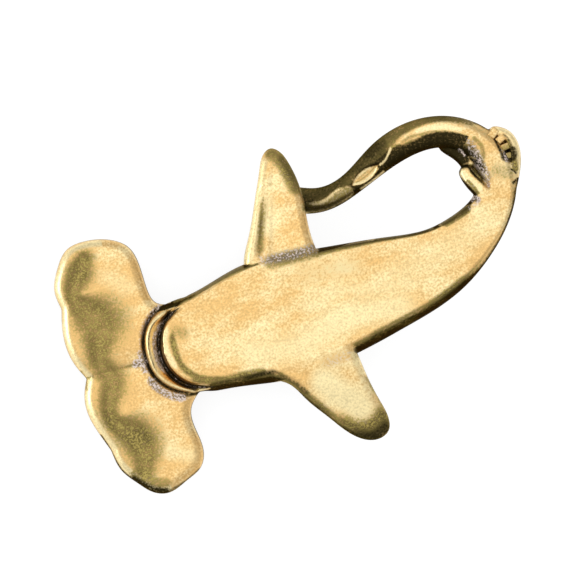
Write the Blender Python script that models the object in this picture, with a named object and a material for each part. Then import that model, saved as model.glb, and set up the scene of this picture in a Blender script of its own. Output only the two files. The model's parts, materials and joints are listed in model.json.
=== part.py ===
"""Cast brass hammerhead shark that serves as a key hook, lying on its back with its filed belly up.

The whole figure is one casting.  It is laid out in a sculpting frame first: X runs from the hammer to the
tail, Y towards the loop that the bent tail makes, and Z = 0 is the flat belly, with the back below it.
Lofts of the body and plates of the hammer and fins are fused into one skin, the mouth and the valley of the
hammer are carved into its face, and the casting is then set down on its back the way it comes to rest.
"""

import math
from collections import namedtuple

import bmesh
import bpy
import numpy as np
from mathutils import Matrix, Vector

MM = 0.001

# The figure's main sizes: over all from hammer to tail bend, across both fins, and from belly to back
FIGURE_LENGTH = 64.0 * MM
FIGURE_BREADTH = 40.4 * MM
BODY_DEPTH = 9.2 * MM

# The plan outlines are drawn on a grid of 64 by 40.4 squares, and depths in parts of 9.2
ALONG = FIGURE_LENGTH / 64.0
ACROSS = FIGURE_BREADTH / 40.4
DOWN = BODY_DEPTH / 9.2

# Body, from the rounded lower jaw to the tip of the hook
JAW_RADIUS = 5.6 * MM
HOOK_TIP_RADIUS = 1.7 * MM
BELLY_EDGE_DROP = 0.42
FLANK_ROUNDNESS = 1.7

# Neck, the low saddle that joins the body to the hammer
NECK_TOP = -1.25 * MM
NECK_THICKNESS = 5.4 * MM
NECK_RIM = 1.6 * MM

# Hammer
HAMMER_TOP = -0.9 * MM
HAMMER_THICKNESS = 4.6 * MM
HAMMER_RIM = 1.2 * MM
CREASE_DEPTH = 0.3 * MM
CREASE_WIDTH = 0.7 * MM
RAISED_EDGE = 1.0 * MM

# Mouth: outside the jaw lie a dark slot, a raised lip and a fine groove
SLOT_WIDTH = 1.35 * MM
SLOT_DEPTH = 1.45 * MM
LIP_WIDTH = 1.9 * MM
LIP_HEIGHT = 0.75 * MM
GROOVE_WIDTH = 1.0 * MM
GROOVE_DEPTH = 0.65 * MM
JAW_BAND_WIDTH = 1.6 * MM
JAW_BAND_DEPTH = 0.14 * MM

# Fins
PECTORAL_TOP = -0.3 * MM
PECTORAL_THICKNESS = 2.7 * MM
PECTORAL_RIM = 1.15 * MM
PECTORAL_TIP_DROP = 1.25 * MM
TROUGH_WIDTH = 2.0 * MM
TROUGH_DEPTH = 0.3 * MM
PELVIC_FLOOR = -1.9 * MM
PELVIC_FLOOR_THICKNESS = 2.4 * MM
PELVIC_RIM = 0.8 * MM
PELVIC_GROOVE_WIDTH = 1.2 * MM
PELVIC_GROOVE_DEPTH = 0.8 * MM
KNOB_RADIUS = 0.7 * MM
KNOB_DEPTH = 1.1 * MM
DORSAL_CHORD = 11.5 * MM
DORSAL_HEIGHT = 3.6 * MM
DORSAL_THICKNESS = 2.4 * MM
REAR_DORSAL_CHORD = 4.5 * MM
REAR_DORSAL_HEIGHT = 1.9 * MM
REAR_DORSAL_THICKNESS = 1.45 * MM
DORSAL_SET_FORWARD = 3.0 * MM
DORSAL_ROOT_SUNK = 0.4 * MM

# Facet filed on the hook, a leaf in plan
LEAF_LENGTH = 4.3 * MM
LEAF_WIDTH = 1.5 * MM
LEAF_HEIGHT = -2.75 * MM
LEAF_SLOPE = 0.22

# Skin: the cell that fuses the shapes, the smoothing that rounds their joins, the metal it costs that is
# put back, the facets that are kept, and the angle over which an edge is shaded sharp
SKIN_CELL = 0.2 * MM
SKIN_SMOOTHING = 6
CUT_SMOOTHING = 2
SKIN_PUT_BACK = 0.1 * MM
KEPT_TRIANGLES = 11600
SHARP_OVER = math.radians(50)

BRASS = (0.80, 0.58, 0.25, 1.0)

# One section of a long form: its centre seen on the belly, its half width, the widths of the flanks that
# show on the loop side and on the outer side, the height of its top and its depth below that.
Section = namedtuple("Section", "x y half_width loop_flank outer_flank top depth")


def section(x, y, half_width, loop_flank, outer_flank, top, depth):
    flanks = loop_flank * ACROSS, outer_flank * ACROSS
    return Section(x * ALONG, y * ACROSS, half_width * ACROSS, *flanks, top * DOWN, depth * DOWN)


BODY = (
    section(-12.5, 0.62, 6.50, 0.8, 1.5, 0.0, 7.2),
    section(-5.0, 0.98, 7.90, 0.8, 1.8, 0.0, 8.8),
    section(3.5, 0.95, 7.50, 0.7, 1.8, 0.0, 9.2),
    section(12.0, 1.35, 6.15, 0.5, 1.6, 0.0, 8.6),
    section(19.5, 2.22, 4.62, 0.4, 1.3, 0.0, 7.2),
    section(24.2, 4.25, 3.58, 0.5, 0.9, 0.0, 6.0),
    section(28.6, 8.0, 2.60, 0.6, 0.6, 0.0, 5.0),
    section(30.0, 12.6, 2.30, 1.5, 1.3, 0.0, 4.4),
    section(27.3, 17.15, 2.0, 1.9, 1.1, -0.1, 3.9),
    section(22.0, 18.85, 2.02, 1.7, 1.0, -0.5, 3.9),
    section(16.3, 17.65, 1.92, 1.4, 2.3, -1.5, 3.9),
    section(11.3, 15.25, 1.45, 0.9, 1.6, -2.9, 3.5),
    section(7.2, 14.35, 1.52, 1.3, 1.4, -4.2, 3.3),
    section(2.4, 15.8, 1.75, 1.3, 1.9, -5.2, 3.3),
)
PELVIC_RIDGES = (
    (
        section(28.4, 7.6, 1.0, 0.3, 0.3, 0.0, 3.6),
        section(27.4, 9.7, 1.05, 0.3, 0.3, -0.05, 3.8),
        section(26.4, 11.7, 1.0, 0.3, 0.3, -0.15, 3.6),
        section(25.85, 13.3, 0.75, 0.35, 0.3, -0.4, 3.0),
    ),
    (
        section(30.9, 8.4, 0.6, 0.3, 0.3, -0.4, 3.2),
        section(32.3, 11.2, 0.65, 0.3, 0.3, -0.3, 3.2),
        section(32.95, 13.8, 0.65, 0.3, 0.3, -0.2, 3.2),
        section(32.5, 15.6, 0.65, 0.3, 0.3, -0.3, 3.0),
        section(30.5, 16.9, 0.6, 0.3, 0.3, -0.6, 2.6),
    ),
)


def plan(*points):
    return [Vector((x * ALONG, y * ACROSS)) for x, y in points]


# The hammer's outline: four scalloped lobes along its front, each a run from one notch to the next; the
# last run carries on round the end and along the back edge to the neck
HAMMER_LOOP_SIDE = (
    plan((-28.85, 0.3), (-29.95, 2.8), (-30.3, 5.6), (-30.0, 8.0), (-29.5, 9.9)),
    plan(
        *((-29.5, 9.9), (-29.75, 12.4), (-28.55, 15.15), (-26.7, 17.2), (-24.2, 17.6), (-21.0, 16.9)),
        *((-18.9, 15.3), (-18.2, 12.8), (-18.1, 9.6), (-17.5, 7.4), (-15.5, 6.6)),
    ),
)
HAMMER_OUTER_SIDE = (
    plan((-28.85, 0.3), (-29.75, -1.8), (-29.95, -4.2), (-29.2, -7.2), (-28.35, -9.6)),
    plan(
        *((-28.35, -9.6), (-27.8, -12.4), (-26.1, -14.75), (-24.6, -16.3), (-22.8, -16.95), (-19.8, -16.0)),
        *((-17.6, -14.8), (-16.8, -13.0), (-17.0, -10.0), (-16.9, -7.4), (-15.0, -5.2)),
    ),
)
NECK_OUTLINE = plan(
    *((-22.5, 3.5), (-20.5, 5.8), (-17.6, 6.6), (-12.0, 6.5), (-10.0, 3.5), (-10.0, -3.5)),
    *((-12.0, -5.4), (-16.5, -5.2), (-20.5, -4.6), (-22.5, -2.5)),
)
PECTORAL_OUTLINES = (
    plan(
        *((-2.5, 4.5), (-5.1, 8.2), (-3.6, 12.0), (-1.2, 17.0), (0.3, 20.3), (1.35, 22.1), (2.4, 22.6)),
        *((3.45, 21.9), (4.2, 20.2), (4.65, 18.0), (4.75, 15.2), (4.45, 11.5), (4.6, 8.2), (5.6, 4.5)),
    ),
    plan(
        *((5.6, -3.5), (6.1, -7.0), (6.5, -10.0), (7.15, -13.0), (7.6, -15.6), (7.2, -17.0), (5.6, -17.75)),
        *((3.8, -17.3), (2.0, -15.8), (0.0, -13.1), (-2.1, -10.1), (-4.1, -7.3), (-6.0, -6.0), (-5.0, -3.5)),
    ),
)
PELVIC_FLOORS = (
    plan((28.8, 9.0), (26.6, 11.0), (25.7, 13.4), (24.9, 14.8), (23.6, 16.7), (25.5, 18.0), (29.5, 15.5)),
    plan((30.6, 10.4), (32.3, 11.6), (33.0, 14.0), (32.2, 16.2), (30.0, 17.1), (29.6, 14.0)),
)

# Lines carved into or raised on the upper face
SLOT_PATH = plan(
    *((-13.9, 6.05), (-16.4, 5.1), (-17.9, 3.6), (-18.7, 1.5), (-18.7, -0.5), (-18.1, -2.2), (-16.8, -3.9)),
    *((-14.9, -4.85), (-12.4, -5.3)),
)
LIP_PATH = plan(
    *((-14.2, 6.35), (-17.2, 5.6), (-18.9, 4.5), (-19.7, 3.0), (-19.95, 1.2), (-19.85, -0.6), (-19.35, -2.2)),
    *((-18.0, -3.75), (-15.8, -4.95), (-13.4, -5.4)),
)
GROOVE_PATH = plan(
    *((-16.6, 6.75), (-18.5, 5.75), (-19.9, 4.1), (-20.6, 2.0), (-20.7, 0.2), (-20.3, -1.7), (-19.2, -3.4)),
    *((-17.3, -4.8), (-15.2, -5.45)),
)
CREASE_PATH = plan((-29.2, 0.3), (-25.0, 0.3), (-21.6, 0.3))
KNOB_PLACES = plan((30.8, 16.3), (31.5, 15.4), (31.8, 14.2), (31.8, 13.0))
TROUGH_PATH = plan((0.35, 18.2), (-0.6, 15.4), (-1.8, 12.2), (-2.9, 9.0))
JAW_BAND_PATH = plan(
    *((-15.6, 3.9), (-16.5, 2.6), (-16.7, 0.8), (-16.5, -1.2), (-15.5, -2.9), (-13.6, -4.1), (-10.5, -4.6)),
)
PELVIC_GROOVE_PATH = plan((26.9, 13.2), (27.4, 11.9), (28.1, 10.7), (28.4, 9.5))
LEAF_CENTRE = Vector((13.35 * ALONG, 15.75 * ACROSS))
LEAF_TURN = math.radians(23)

# Where each carving ends: the head's and the hammer's hind ends, the neck's middle and reach, and where the
# tail and the loop-side fin begin
HEAD_END = -11.0 * ALONG
HAMMER_END = -20.9
NECK_MIDDLE = 0.6
NECK_REACH = 6.4
TAIL_CORNER = Vector((25.0 * ALONG, 8.0 * ACROSS))
FIN_CORNER = Vector((6.0 * ALONG, 7.0 * ACROSS))

# The valley pressed into the hammer's face behind its raised front edge: a point of its floor, how far it
# reaches to each side there, and its depth
Valley = namedtuple("Valley", "x y reach depth")


def valley(x, y, reach, depth):
    return Valley(x * ALONG, y * ACROSS, reach * ALONG, depth * DOWN)


HAMMER_VALLEY = (
    valley(-24.9, 15.4, 1.4, 0.20),
    valley(-26.2, 13.4, 2.1, 0.30),
    valley(-27.6, 10.9, 1.5, 0.25),
    valley(-26.2, 8.6, 3.2, 0.36),
    valley(-25.3, 6.6, 3.9, 0.42),
    valley(-26.2, 4.0, 2.7, 0.36),
    valley(-26.4, 1.6, 2.1, 0.30),
    valley(-25.2, -0.8, 2.4, 0.28),
    valley(-26.8, -3.6, 2.0, 0.32),
    valley(-27.1, -6.2, 1.6, 0.28),
    valley(-24.9, -8.6, 3.3, 0.36),
    valley(-24.1, -10.6, 3.0, 0.36),
    valley(-25.0, -13.6, 1.5, 0.22),
)


def spline(rows, spacing=None, count=None):
    """Rows of numbers read from a natural cubic spline through the given rows, and where each is."""
    rows = np.array([tuple(row) for row in rows], float)
    steps = np.linalg.norm(np.diff(rows[:, :2], axis=0), axis=1)
    at = np.concatenate([[0.0], np.cumsum(steps)])
    size = len(rows)
    system = np.eye(size)
    change = np.zeros_like(rows)
    for i in range(1, size - 1):
        system[i, i - 1 : i + 2] = steps[i - 1], 2 * (steps[i - 1] + steps[i]), steps[i]
        change[i] = 6 * ((rows[i + 1] - rows[i]) / steps[i] - (rows[i] - rows[i - 1]) / steps[i - 1])
    bend = np.linalg.solve(system, change)
    read = np.linspace(0.0, at[-1], count or max(3, round(at[-1] / spacing)))
    span = np.clip(np.searchsorted(at, read, side="right") - 1, 0, size - 2)
    h = steps[span][:, None]
    a = (at[span + 1] - read)[:, None]
    b = (read - at[span])[:, None]
    found = (bend[span] * a**3 + bend[span + 1] * b**3) / (6 * h)
    found += (rows[span] / h - bend[span] * h / 6) * a + (rows[span + 1] / h - bend[span + 1] * h / 6) * b
    return found, read


def hammer_outline():
    """The closed outline of the hammer, from the middle notch round the loop side and the outer side."""
    loop_side = np.concatenate([spline(run, spacing=0.35 * MM)[0][:-1] for run in HAMMER_LOOP_SIDE])
    outer_side = np.concatenate([spline(run, spacing=0.35 * MM)[0][:-1] for run in HAMMER_OUTER_SIDE])
    return np.concatenate([loop_side, outer_side[:0:-1]])


def near_path(points, path):
    """How far each point lies from a path in plan, and how far along the path its nearest point is."""
    nearest = np.full(len(points), np.inf)
    along = np.zeros(len(points))
    ends = len(path) - 1
    for i in range(ends):
        step = path[i + 1] - path[i]
        t = np.clip((points - path[i]) @ step / (step @ step), 0.0, 1.0)
        away = np.linalg.norm(points - path[i] - t[:, None] * step, axis=1)
        closer = away < nearest
        nearest[closer] = away[closer]
        along[closer] = (i + t[closer]) / ends
    return nearest, along


def rounding(distance, radius):
    """Share of full size that a round end has at a distance from its tip."""
    inward = min(max(distance / radius, 0.0), 1.0)
    return math.sqrt(max(1.0 - (1.0 - inward) ** 2, 0.0))


def loft(rings):
    """A closed mesh through rings of equally many points, with a cap on each end."""
    shape = bmesh.new()
    loops = [[shape.verts.new(point) for point in ring] for ring in rings]
    for one, other in zip(loops, loops[1:]):
        for i in range(len(one)):
            k = (i + 1) % len(one)
            shape.faces.new((one[i], one[k], other[k], other[i]))
    shape.faces.new(loops[0][::-1])
    shape.faces.new(loops[-1])
    bmesh.ops.recalc_face_normals(shape, faces=shape.faces)
    return shape


def section_ring(here, along, size):
    """The closed outline of one section, from its loop-side flank over the back to the belly."""
    centre = Vector((here.x, here.y, here.top))
    loop_side = Vector((-along.y, along.x, 0.0))
    width = here.half_width * size
    drop = here.depth * BELLY_EDGE_DROP
    power = 2 / FLANK_ROUNDNESS
    flank_steps, back_steps, flat_steps = 8, 18, 6
    flanks = []
    for flank, side in ((here.loop_flank * size, 1), (here.outer_flank * size, -1)):
        turns = [0.5 * math.pi * k / flank_steps for k in range(flank_steps)]
        out = [width - flank + flank * math.sin(t) ** power for t in turns]
        down = [drop * (math.cos(t) ** power - 1) for t in turns]
        flanks.append([(side * n, z) for n, z in zip(out, down)])
    turns = [math.pi * k / back_steps for k in range(back_steps + 1)]
    back = [(width * math.cos(t), -drop - (here.depth - drop) * math.sin(t)) for t in turns]
    first, last = flanks[1][0][0], flanks[0][0][0]
    flat = [(first + (last - first) * k / flat_steps, 0.0) for k in range(1, flat_steps)]
    profile = flanks[0] + back + flanks[1][::-1] + flat
    return [centre + loop_side * n + Vector((0, 0, z)) for n, z in profile]


def long_form(sections, start_radius, end_radius, count):
    """A long form such as the body: flat on top, with rounded flanks, a round back and round ends."""
    rows, read = spline(sections, count=count)
    rings = []
    for i, (row, at) in enumerate(zip(rows, read)):
        ahead, behind = rows[min(i + 1, count - 1)], rows[max(i - 1, 0)]
        along = Vector((ahead[0] - behind[0], ahead[1] - behind[1])).normalized()
        size = min(rounding(at, start_radius), rounding(read[-1] - at, end_radius))
        rings.append(section_ring(Section(*row), along, max(size, 0.02)))
    return loft(rings)


def plate(outline, top, thickness, rim, sag=None):
    """A plate with a rounded rim on the given outline; sag lowers and thins it from place to place."""
    ahead = np.roll(outline, -1, axis=0) - np.roll(outline, 1, axis=0)
    inward = np.stack([-ahead[:, 1], ahead[:, 0]], axis=1)
    inward /= np.maximum(np.linalg.norm(inward, axis=1), 1e-12)[:, None]
    area = np.sum(outline[:, 0] * np.roll(outline[:, 1], -1) - outline[:, 1] * np.roll(outline[:, 0], -1))
    inward *= math.copysign(1.0, area)
    outline = outline + inward * SKIN_PUT_BACK
    half = 0.5 * thickness
    rim = min(rim, half)
    heights = []
    for k in range(7):
        turn = 0.5 * math.pi * k / 6
        heights.append((rim * (1 - math.sin(turn)), half - rim + rim * math.cos(turn)))
    heights = heights + [(inset, -z) for inset, z in heights[::-1]]
    rings = []
    for inset, z in heights:
        ring = outline + inward * inset
        if sag:
            drop, thin = sag(ring)
            levels = top - drop - (half - z) * thin
        else:
            levels = np.full(len(ring), top - half + z)
        rings.append([Vector((x, y, level)) for (x, y), level in zip(ring, levels)])
    return loft(rings)


def pectoral_sag(ring):
    """How far a pectoral fin drops, and how much of its thickness is left, towards its tip."""
    share = np.clip((np.abs(ring[:, 1] / ACROSS - 1.0) - 7.0) / 14.5, 0.0, 1.2)
    return PECTORAL_TIP_DROP * share**1.5, 1.0 - 0.35 * share


def dorsal_fin(root, chord, height, thickness):
    """A fin that stands on the back and sweeps towards the tail, lofted from its root to its tip."""
    rings = []
    count, steps = 26, 28
    for k in range(count):
        share = -0.35 + 1.35 * k / (count - 1)
        rise = max(share, 0.0)
        lead = root.x - 0.5 * chord + chord * (0.7 * rise + 0.2 * rise**2)
        trail = root.x + 0.5 * chord + chord * (0.15 * rise**3 - 0.07 * rise)
        size = max(rounding(1.0 - share, 0.25), 0.08)
        half_chord = max(0.5 * (trail - lead), 0.5 * MM) * size
        half = 0.5 * thickness * (1.0 - 0.4 * rise) * max(size, 0.4)
        middle = Vector((0.5 * (lead + trail), root.y, root.z - height * share))
        turns = [2 * math.pi * i / steps for i in range(steps)]
        rings.append([middle + Vector((half_chord * math.cos(t), half * math.sin(t), 0)) for t in turns])
    return loft(rings)


def knob(centre):
    shape = bmesh.new()
    bmesh.ops.create_icosphere(shape, subdivisions=3, radius=KNOB_RADIUS, matrix=Matrix.Translation(centre))
    return shape


def mesh_object(name, shapes):
    """One object that holds all the given shapes."""
    whole = bmesh.new()
    for shape in shapes:
        part = bpy.data.meshes.new(name + "_part")
        shape.to_mesh(part)
        shape.free()
        whole.from_mesh(part)
        bpy.data.meshes.remove(part)
    mesh = bpy.data.meshes.new(name)
    whole.to_mesh(mesh)
    whole.free()
    return object_of(name, mesh)


def object_of(name, mesh):
    made = bpy.data.objects.new(name, mesh)
    bpy.context.scene.collection.objects.link(made)
    return made


def taken_mesh(made):
    """The object's mesh with its modifiers carried out; the object itself is removed."""
    bpy.context.view_layer.update()
    graph = bpy.context.evaluated_depsgraph_get()
    mesh = bpy.data.meshes.new_from_object(made.evaluated_get(graph))
    bpy.data.objects.remove(made)
    return mesh


def fused_skin():
    """All the shapes as one closed skin with rounded joins."""
    first = BODY[0]
    jaw = first._replace(x=first.x - JAW_RADIUS)
    shapes = [long_form((jaw,) + BODY, JAW_RADIUS, HOOK_TIP_RADIUS, 190)]
    shapes.append(plate(hammer_outline(), HAMMER_TOP, HAMMER_THICKNESS, HAMMER_RIM))
    neck = spline(NECK_OUTLINE + NECK_OUTLINE[:1], spacing=0.4 * MM)[0][:-1]
    shapes.append(plate(neck, NECK_TOP, NECK_THICKNESS, NECK_RIM))
    for run in PECTORAL_OUTLINES:
        outline = spline(run, spacing=0.35 * MM)[0]
        shapes.append(plate(outline, PECTORAL_TOP, PECTORAL_THICKNESS, PECTORAL_RIM, pectoral_sag))
    for run in PELVIC_FLOORS:
        outline = spline(run + run[:1], spacing=0.3 * MM)[0][:-1]
        shapes.append(plate(outline, PELVIC_FLOOR, PELVIC_FLOOR_THICKNESS, PELVIC_RIM))
    shapes += [long_form(sections, PELVIC_RIM, PELVIC_RIM, 24) for sections in PELVIC_RIDGES]
    shapes += [knob(Vector((*spot, -KNOB_DEPTH))) for spot in KNOB_PLACES]
    trunk, rear = BODY[2], BODY[4]
    root = Vector((trunk.x - DORSAL_SET_FORWARD, trunk.y, DORSAL_ROOT_SUNK - trunk.depth))
    shapes.append(dorsal_fin(root, DORSAL_CHORD, DORSAL_HEIGHT, DORSAL_THICKNESS))
    root = Vector((rear.x, rear.y, DORSAL_ROOT_SUNK - rear.depth))
    shapes.append(dorsal_fin(root, REAR_DORSAL_CHORD, REAR_DORSAL_HEIGHT, REAR_DORSAL_THICKNESS))

    skin = mesh_object("casting_skin", shapes)
    fuse = skin.modifiers.new("fuse", "REMESH")
    fuse.mode = "VOXEL"
    fuse.voxel_size = SKIN_CELL
    rounded = skin.modifiers.new("round the joins", "SMOOTH")
    rounded.factor = 0.5
    rounded.iterations = round(SKIN_SMOOTHING)
    grown = skin.modifiers.new("put the metal back", "DISPLACE")
    grown.strength = SKIN_PUT_BACK
    grown.mid_level = 0.0
    return taken_mesh(skin)


def taper(along):
    """Full depth along most of a line, and none at its two ends."""
    return np.clip(np.sin(np.pi * np.clip(along, 0.0, 1.0)) * 2.2, 0.0, 1.0)


def carved_line(points, path, width, depth):
    """Depth below the face of a rounded line of a given width, tapered at its ends."""
    away, along = near_path(points, spline(path, spacing=0.3 * MM)[0])
    return depth * (0.5 + 0.5 * np.cos(np.pi * np.clip(2 * away / width, 0.0, 1.0))) * taper(along)


def hammer_depth(points):
    """The valley and the middle crease of the hammer's face, which leave its edge raised."""
    away, _ = near_path(points, hammer_outline())
    inside = np.clip(away / RAISED_EDGE - 0.4, 0.0, 1.0)
    inside *= inside * (3.0 - 2.0 * inside)
    pressed, _ = spline(HAMMER_VALLEY, spacing=0.6 * MM)
    away, along = near_path(points, pressed[:, :2])
    at = along * (len(pressed) - 1)
    steps = np.arange(len(pressed))
    reach, depth = np.interp(at, steps, pressed[:, 2]), np.interp(at, steps, pressed[:, 3])
    hollow = depth * (0.5 + 0.5 * np.cos(np.pi * np.clip(away / reach, 0.0, 1.0)))
    crease, _ = near_path(points, spline(CREASE_PATH, spacing=0.5 * MM)[0])
    narrow = np.exp(-((2 * crease / CREASE_WIDTH) ** 2))
    wide = np.exp(-((crease / (3 * CREASE_WIDTH)) ** 2))
    return hollow * inside + CREASE_DEPTH * (0.5 * narrow + 0.8 * wide)


def carve(mesh):
    """Carves the face that looks up: hammer, mouth, fins and filed leaf, then files the belly flat."""
    corners = np.empty(len(mesh.vertices) * 3)
    mesh.vertices.foreach_get("co", corners)
    corners = corners.reshape(-1, 3)
    normals = np.empty(len(mesh.vertices) * 3)
    mesh.vertices.foreach_get("normal", normals)
    upward = np.clip(normals.reshape(-1, 3)[:, 2] / 0.5 - 0.4, 0.0, 1.0)
    level = corners[:, 2]

    head = (corners[:, 0] < HEAD_END) & (upward > 0)
    spots = corners[head, :2]
    raised = carved_line(spots, LIP_PATH, LIP_WIDTH, LIP_HEIGHT)
    cut = carved_line(spots, SLOT_PATH, SLOT_WIDTH, SLOT_DEPTH)
    cut += carved_line(spots, GROOVE_PATH, GROOVE_WIDTH, GROOVE_DEPTH)
    cut += carved_line(spots, JAW_BAND_PATH, JAW_BAND_WIDTH, JAW_BAND_DEPTH)
    on_hammer = np.clip((HAMMER_END - spots[:, 0] / ALONG) / 0.8, 0.0, 1.0)
    beside = np.clip((np.abs(spots[:, 1] / ACROSS - NECK_MIDDLE) - NECK_REACH) / 0.8, 0.0, 1.0)
    on_hammer = np.maximum(on_hammer, beside)
    level[head] += upward[head] * (raised - cut - hammer_depth(spots) * on_hammer)

    tail = (corners[:, 0] > TAIL_CORNER.x) & (corners[:, 1] > TAIL_CORNER.y) & (upward > 0)
    level[tail] -= upward[tail] * carved_line(
        corners[tail, :2], PELVIC_GROOVE_PATH, PELVIC_GROOVE_WIDTH, PELVIC_GROOVE_DEPTH
    )

    fin = (corners[:, 1] > FIN_CORNER.y) & (np.abs(corners[:, 0]) < FIN_CORNER.x) & (upward > 0)
    level[fin] -= upward[fin] * carved_line(corners[fin, :2], TROUGH_PATH, TROUGH_WIDTH, TROUGH_DEPTH)

    turned = (corners[:, :2] - LEAF_CENTRE) @ np.array(
        [[math.cos(LEAF_TURN), -math.sin(LEAF_TURN)], [math.sin(LEAF_TURN), math.cos(LEAF_TURN)]]
    )
    outside = 2 * np.abs(turned[:, 1]) / LEAF_WIDTH + (2 * turned[:, 0] / LEAF_LENGTH) ** 2 - 1.0
    leaf = (outside < 2.0) & (upward > 0)
    filed = LEAF_HEIGHT + LEAF_SLOPE * turned[:, 0] + LEAF_WIDTH * np.maximum(outside, 0.0)
    level[leaf] = np.minimum(level[leaf], filed[leaf])

    corners[:, 2] = np.minimum(level, 0.0)
    mesh.vertices.foreach_set("co", corners.reshape(-1))
    mesh.update()


def light_facets(mesh):
    """The same skin with fewer, larger facets where it is gently curved."""
    mesh.calc_loop_triangles()
    share = KEPT_TRIANGLES / len(mesh.loop_triangles)
    dense = object_of("dense_skin", mesh)
    softened = dense.modifiers.new("soften the cuts", "SMOOTH")
    softened.factor = 0.5
    softened.iterations = round(CUT_SMOOTHING)
    fewer = dense.modifiers.new("fewer facets", "DECIMATE")
    fewer.ratio = min(1.0, share)
    fewer.use_collapse_triangulate = True
    return taken_mesh(dense)


def centre_of_mass(mesh):
    """The centre of the solid that the triangles enclose."""
    corners = np.empty(len(mesh.vertices) * 3)
    mesh.vertices.foreach_get("co", corners)
    faces = np.array([p.vertices[:] for p in mesh.polygons])
    a, b, c = (corners.reshape(-1, 3)[faces[:, i]] for i in range(3))
    volumes = np.einsum("ij,ij->i", a, np.cross(b, c)) / 6
    return Vector(((a + b + c) / 4 * volumes[:, None]).sum(axis=0) / volumes.sum())


def footing(mesh):
    """The normal of the hull face that the casting can stand on with the least tilt."""
    weight = centre_of_mass(mesh)
    hull = bmesh.new()
    hull.from_mesh(mesh)
    bmesh.ops.convex_hull(hull, input=hull.verts, use_existing_faces=False)
    best = Vector((0, 0, 0))
    for face in hull.faces:
        normal, corners = face.normal, [v.co for v in face.verts]
        foot = weight + normal * normal.dot(corners[0] - weight)
        edges = zip(corners, corners[1:] + corners[:1])
        if normal.z < best.z and all((q - p).cross(foot - p).dot(normal) >= 0 for p, q in edges):
            best = normal.copy()
    hull.free()
    return best


def set_down(mesh):
    """Turns the casting onto its back the way it comes to rest, its lowest point at Z = 0."""
    turn = footing(mesh).rotation_difference(Vector((0, 0, -1))).to_matrix().to_4x4()
    mesh.transform(turn)
    corners = np.empty(len(mesh.vertices) * 3)
    mesh.vertices.foreach_get("co", corners)
    low, high = corners.reshape(-1, 3).min(axis=0), corners.reshape(-1, 3).max(axis=0)
    move = Matrix.Translation((-(low[0] + high[0]) / 2, -(low[1] + high[1]) / 2, -low[2]))
    mesh.transform(move)
    return move @ turn


def shade_belly_flat(mesh, placed):
    """Shades the filed belly as one level face."""
    up = placed.to_3x3() @ Vector((0, 0, 1))
    for face in mesh.polygons:
        if face.normal.dot(up) > 0.9999 and (face.center - placed.translation).dot(up) > -0.01 * MM:
            face.use_smooth = False


def brass_material():
    brass = bpy.data.materials.new("aged_brass")
    brass.use_nodes = True
    surface = brass.node_tree.nodes["Principled BSDF"]
    surface.inputs["Base Color"].default_value = BRASS
    surface.inputs["Metallic"].default_value = 1.0
    surface.inputs["Roughness"].default_value = 0.35
    return brass


def main():
    for old in list(bpy.data.objects):
        bpy.data.objects.remove(old)
    mesh = fused_skin()
    carve(mesh)
    mesh = light_facets(mesh)
    placed = set_down(mesh)
    mesh.shade_smooth()
    mesh.set_sharp_from_angle(angle=SHARP_OVER)
    shade_belly_flat(mesh, placed)
    mesh.materials.clear()
    mesh.materials.append(brass_material())
    object_of("shark_casting", mesh)
    return placed


PLACED = main()
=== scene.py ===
"""Dresses the cast brass shark key hook: its fine skin, its patina with painted light and shade, its knobs
and the studio it lies in.
"""

import json
import math
from collections import namedtuple
from functools import partial

import bmesh
import bpy
import numpy as np
from mathutils import Matrix, Vector


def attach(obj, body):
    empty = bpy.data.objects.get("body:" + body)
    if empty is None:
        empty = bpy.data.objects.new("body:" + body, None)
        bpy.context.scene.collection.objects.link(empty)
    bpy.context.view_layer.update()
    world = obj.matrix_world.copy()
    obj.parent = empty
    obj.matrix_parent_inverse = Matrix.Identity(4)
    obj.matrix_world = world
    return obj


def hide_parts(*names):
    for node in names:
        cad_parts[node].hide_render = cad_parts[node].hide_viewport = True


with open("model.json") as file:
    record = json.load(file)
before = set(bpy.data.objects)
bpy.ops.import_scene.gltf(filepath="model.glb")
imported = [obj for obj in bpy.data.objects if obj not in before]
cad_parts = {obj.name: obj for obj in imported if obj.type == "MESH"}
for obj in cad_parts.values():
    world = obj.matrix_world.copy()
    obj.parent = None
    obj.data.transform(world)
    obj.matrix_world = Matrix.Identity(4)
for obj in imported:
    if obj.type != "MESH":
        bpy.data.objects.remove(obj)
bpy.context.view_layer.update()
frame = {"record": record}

bl_info = {
    "name": "Brass Shark Key Hook",
    "version": (1, 0, 0),
    "blender": (4, 5, 0),
    "location": "3D View > Sidebar > Brass Shark",
    "description": "Builds the finely carved brass skin of a hammerhead shark key hook and lights it",
    "category": "Object",
}

MM = 0.001

# The studio: the photo's frame and where in it the sculpting frame starts, in pixels; the camera's sensor in
# millimetres; each lamp's size and its place over the belly; the floor's own colour and what it sends back
FRAME_PIXELS = 576
START_PIXEL = (300, 320)
SENSOR_WIDTH = 36.0
LAMPS = (("top_light", 0.45, (-0.05, 0.10, 0.55)), ("side_light", 0.30, (-0.45, 0.12, 0.22)))
WHITE = (1.0, 1.0, 1.0, 1.0)
FLOOR_GREY = (0.3, 0.3, 0.3, 1.0)
FLOOR_GLOW = 0.85
HORIZON_SHARE = 0.95

# How high the cast grain stands, and the colour sockets of a Mix node
GRAIN_HEIGHT = 0.04 * MM
MIX_A, MIX_B, MIX_RESULT = 6, 7, 2

# Where the record says the filed belly lies: a point of it in the sculpting frame, and the same point and
# the belly's normal in the scene
BELLY_POINT = Vector((2.0, 1.0, 0.0)) * MM
BELLY_MOUNT = next(m for m in frame["record"]["mounts"] if m["name"] == "belly_flat")


def in_mm(kind, *sizes_mm):
    return kind(*(size * MM for size in sizes_mm))


def plan(*points_mm):
    return [Vector(point) * MM for point in points_mm]


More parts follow.
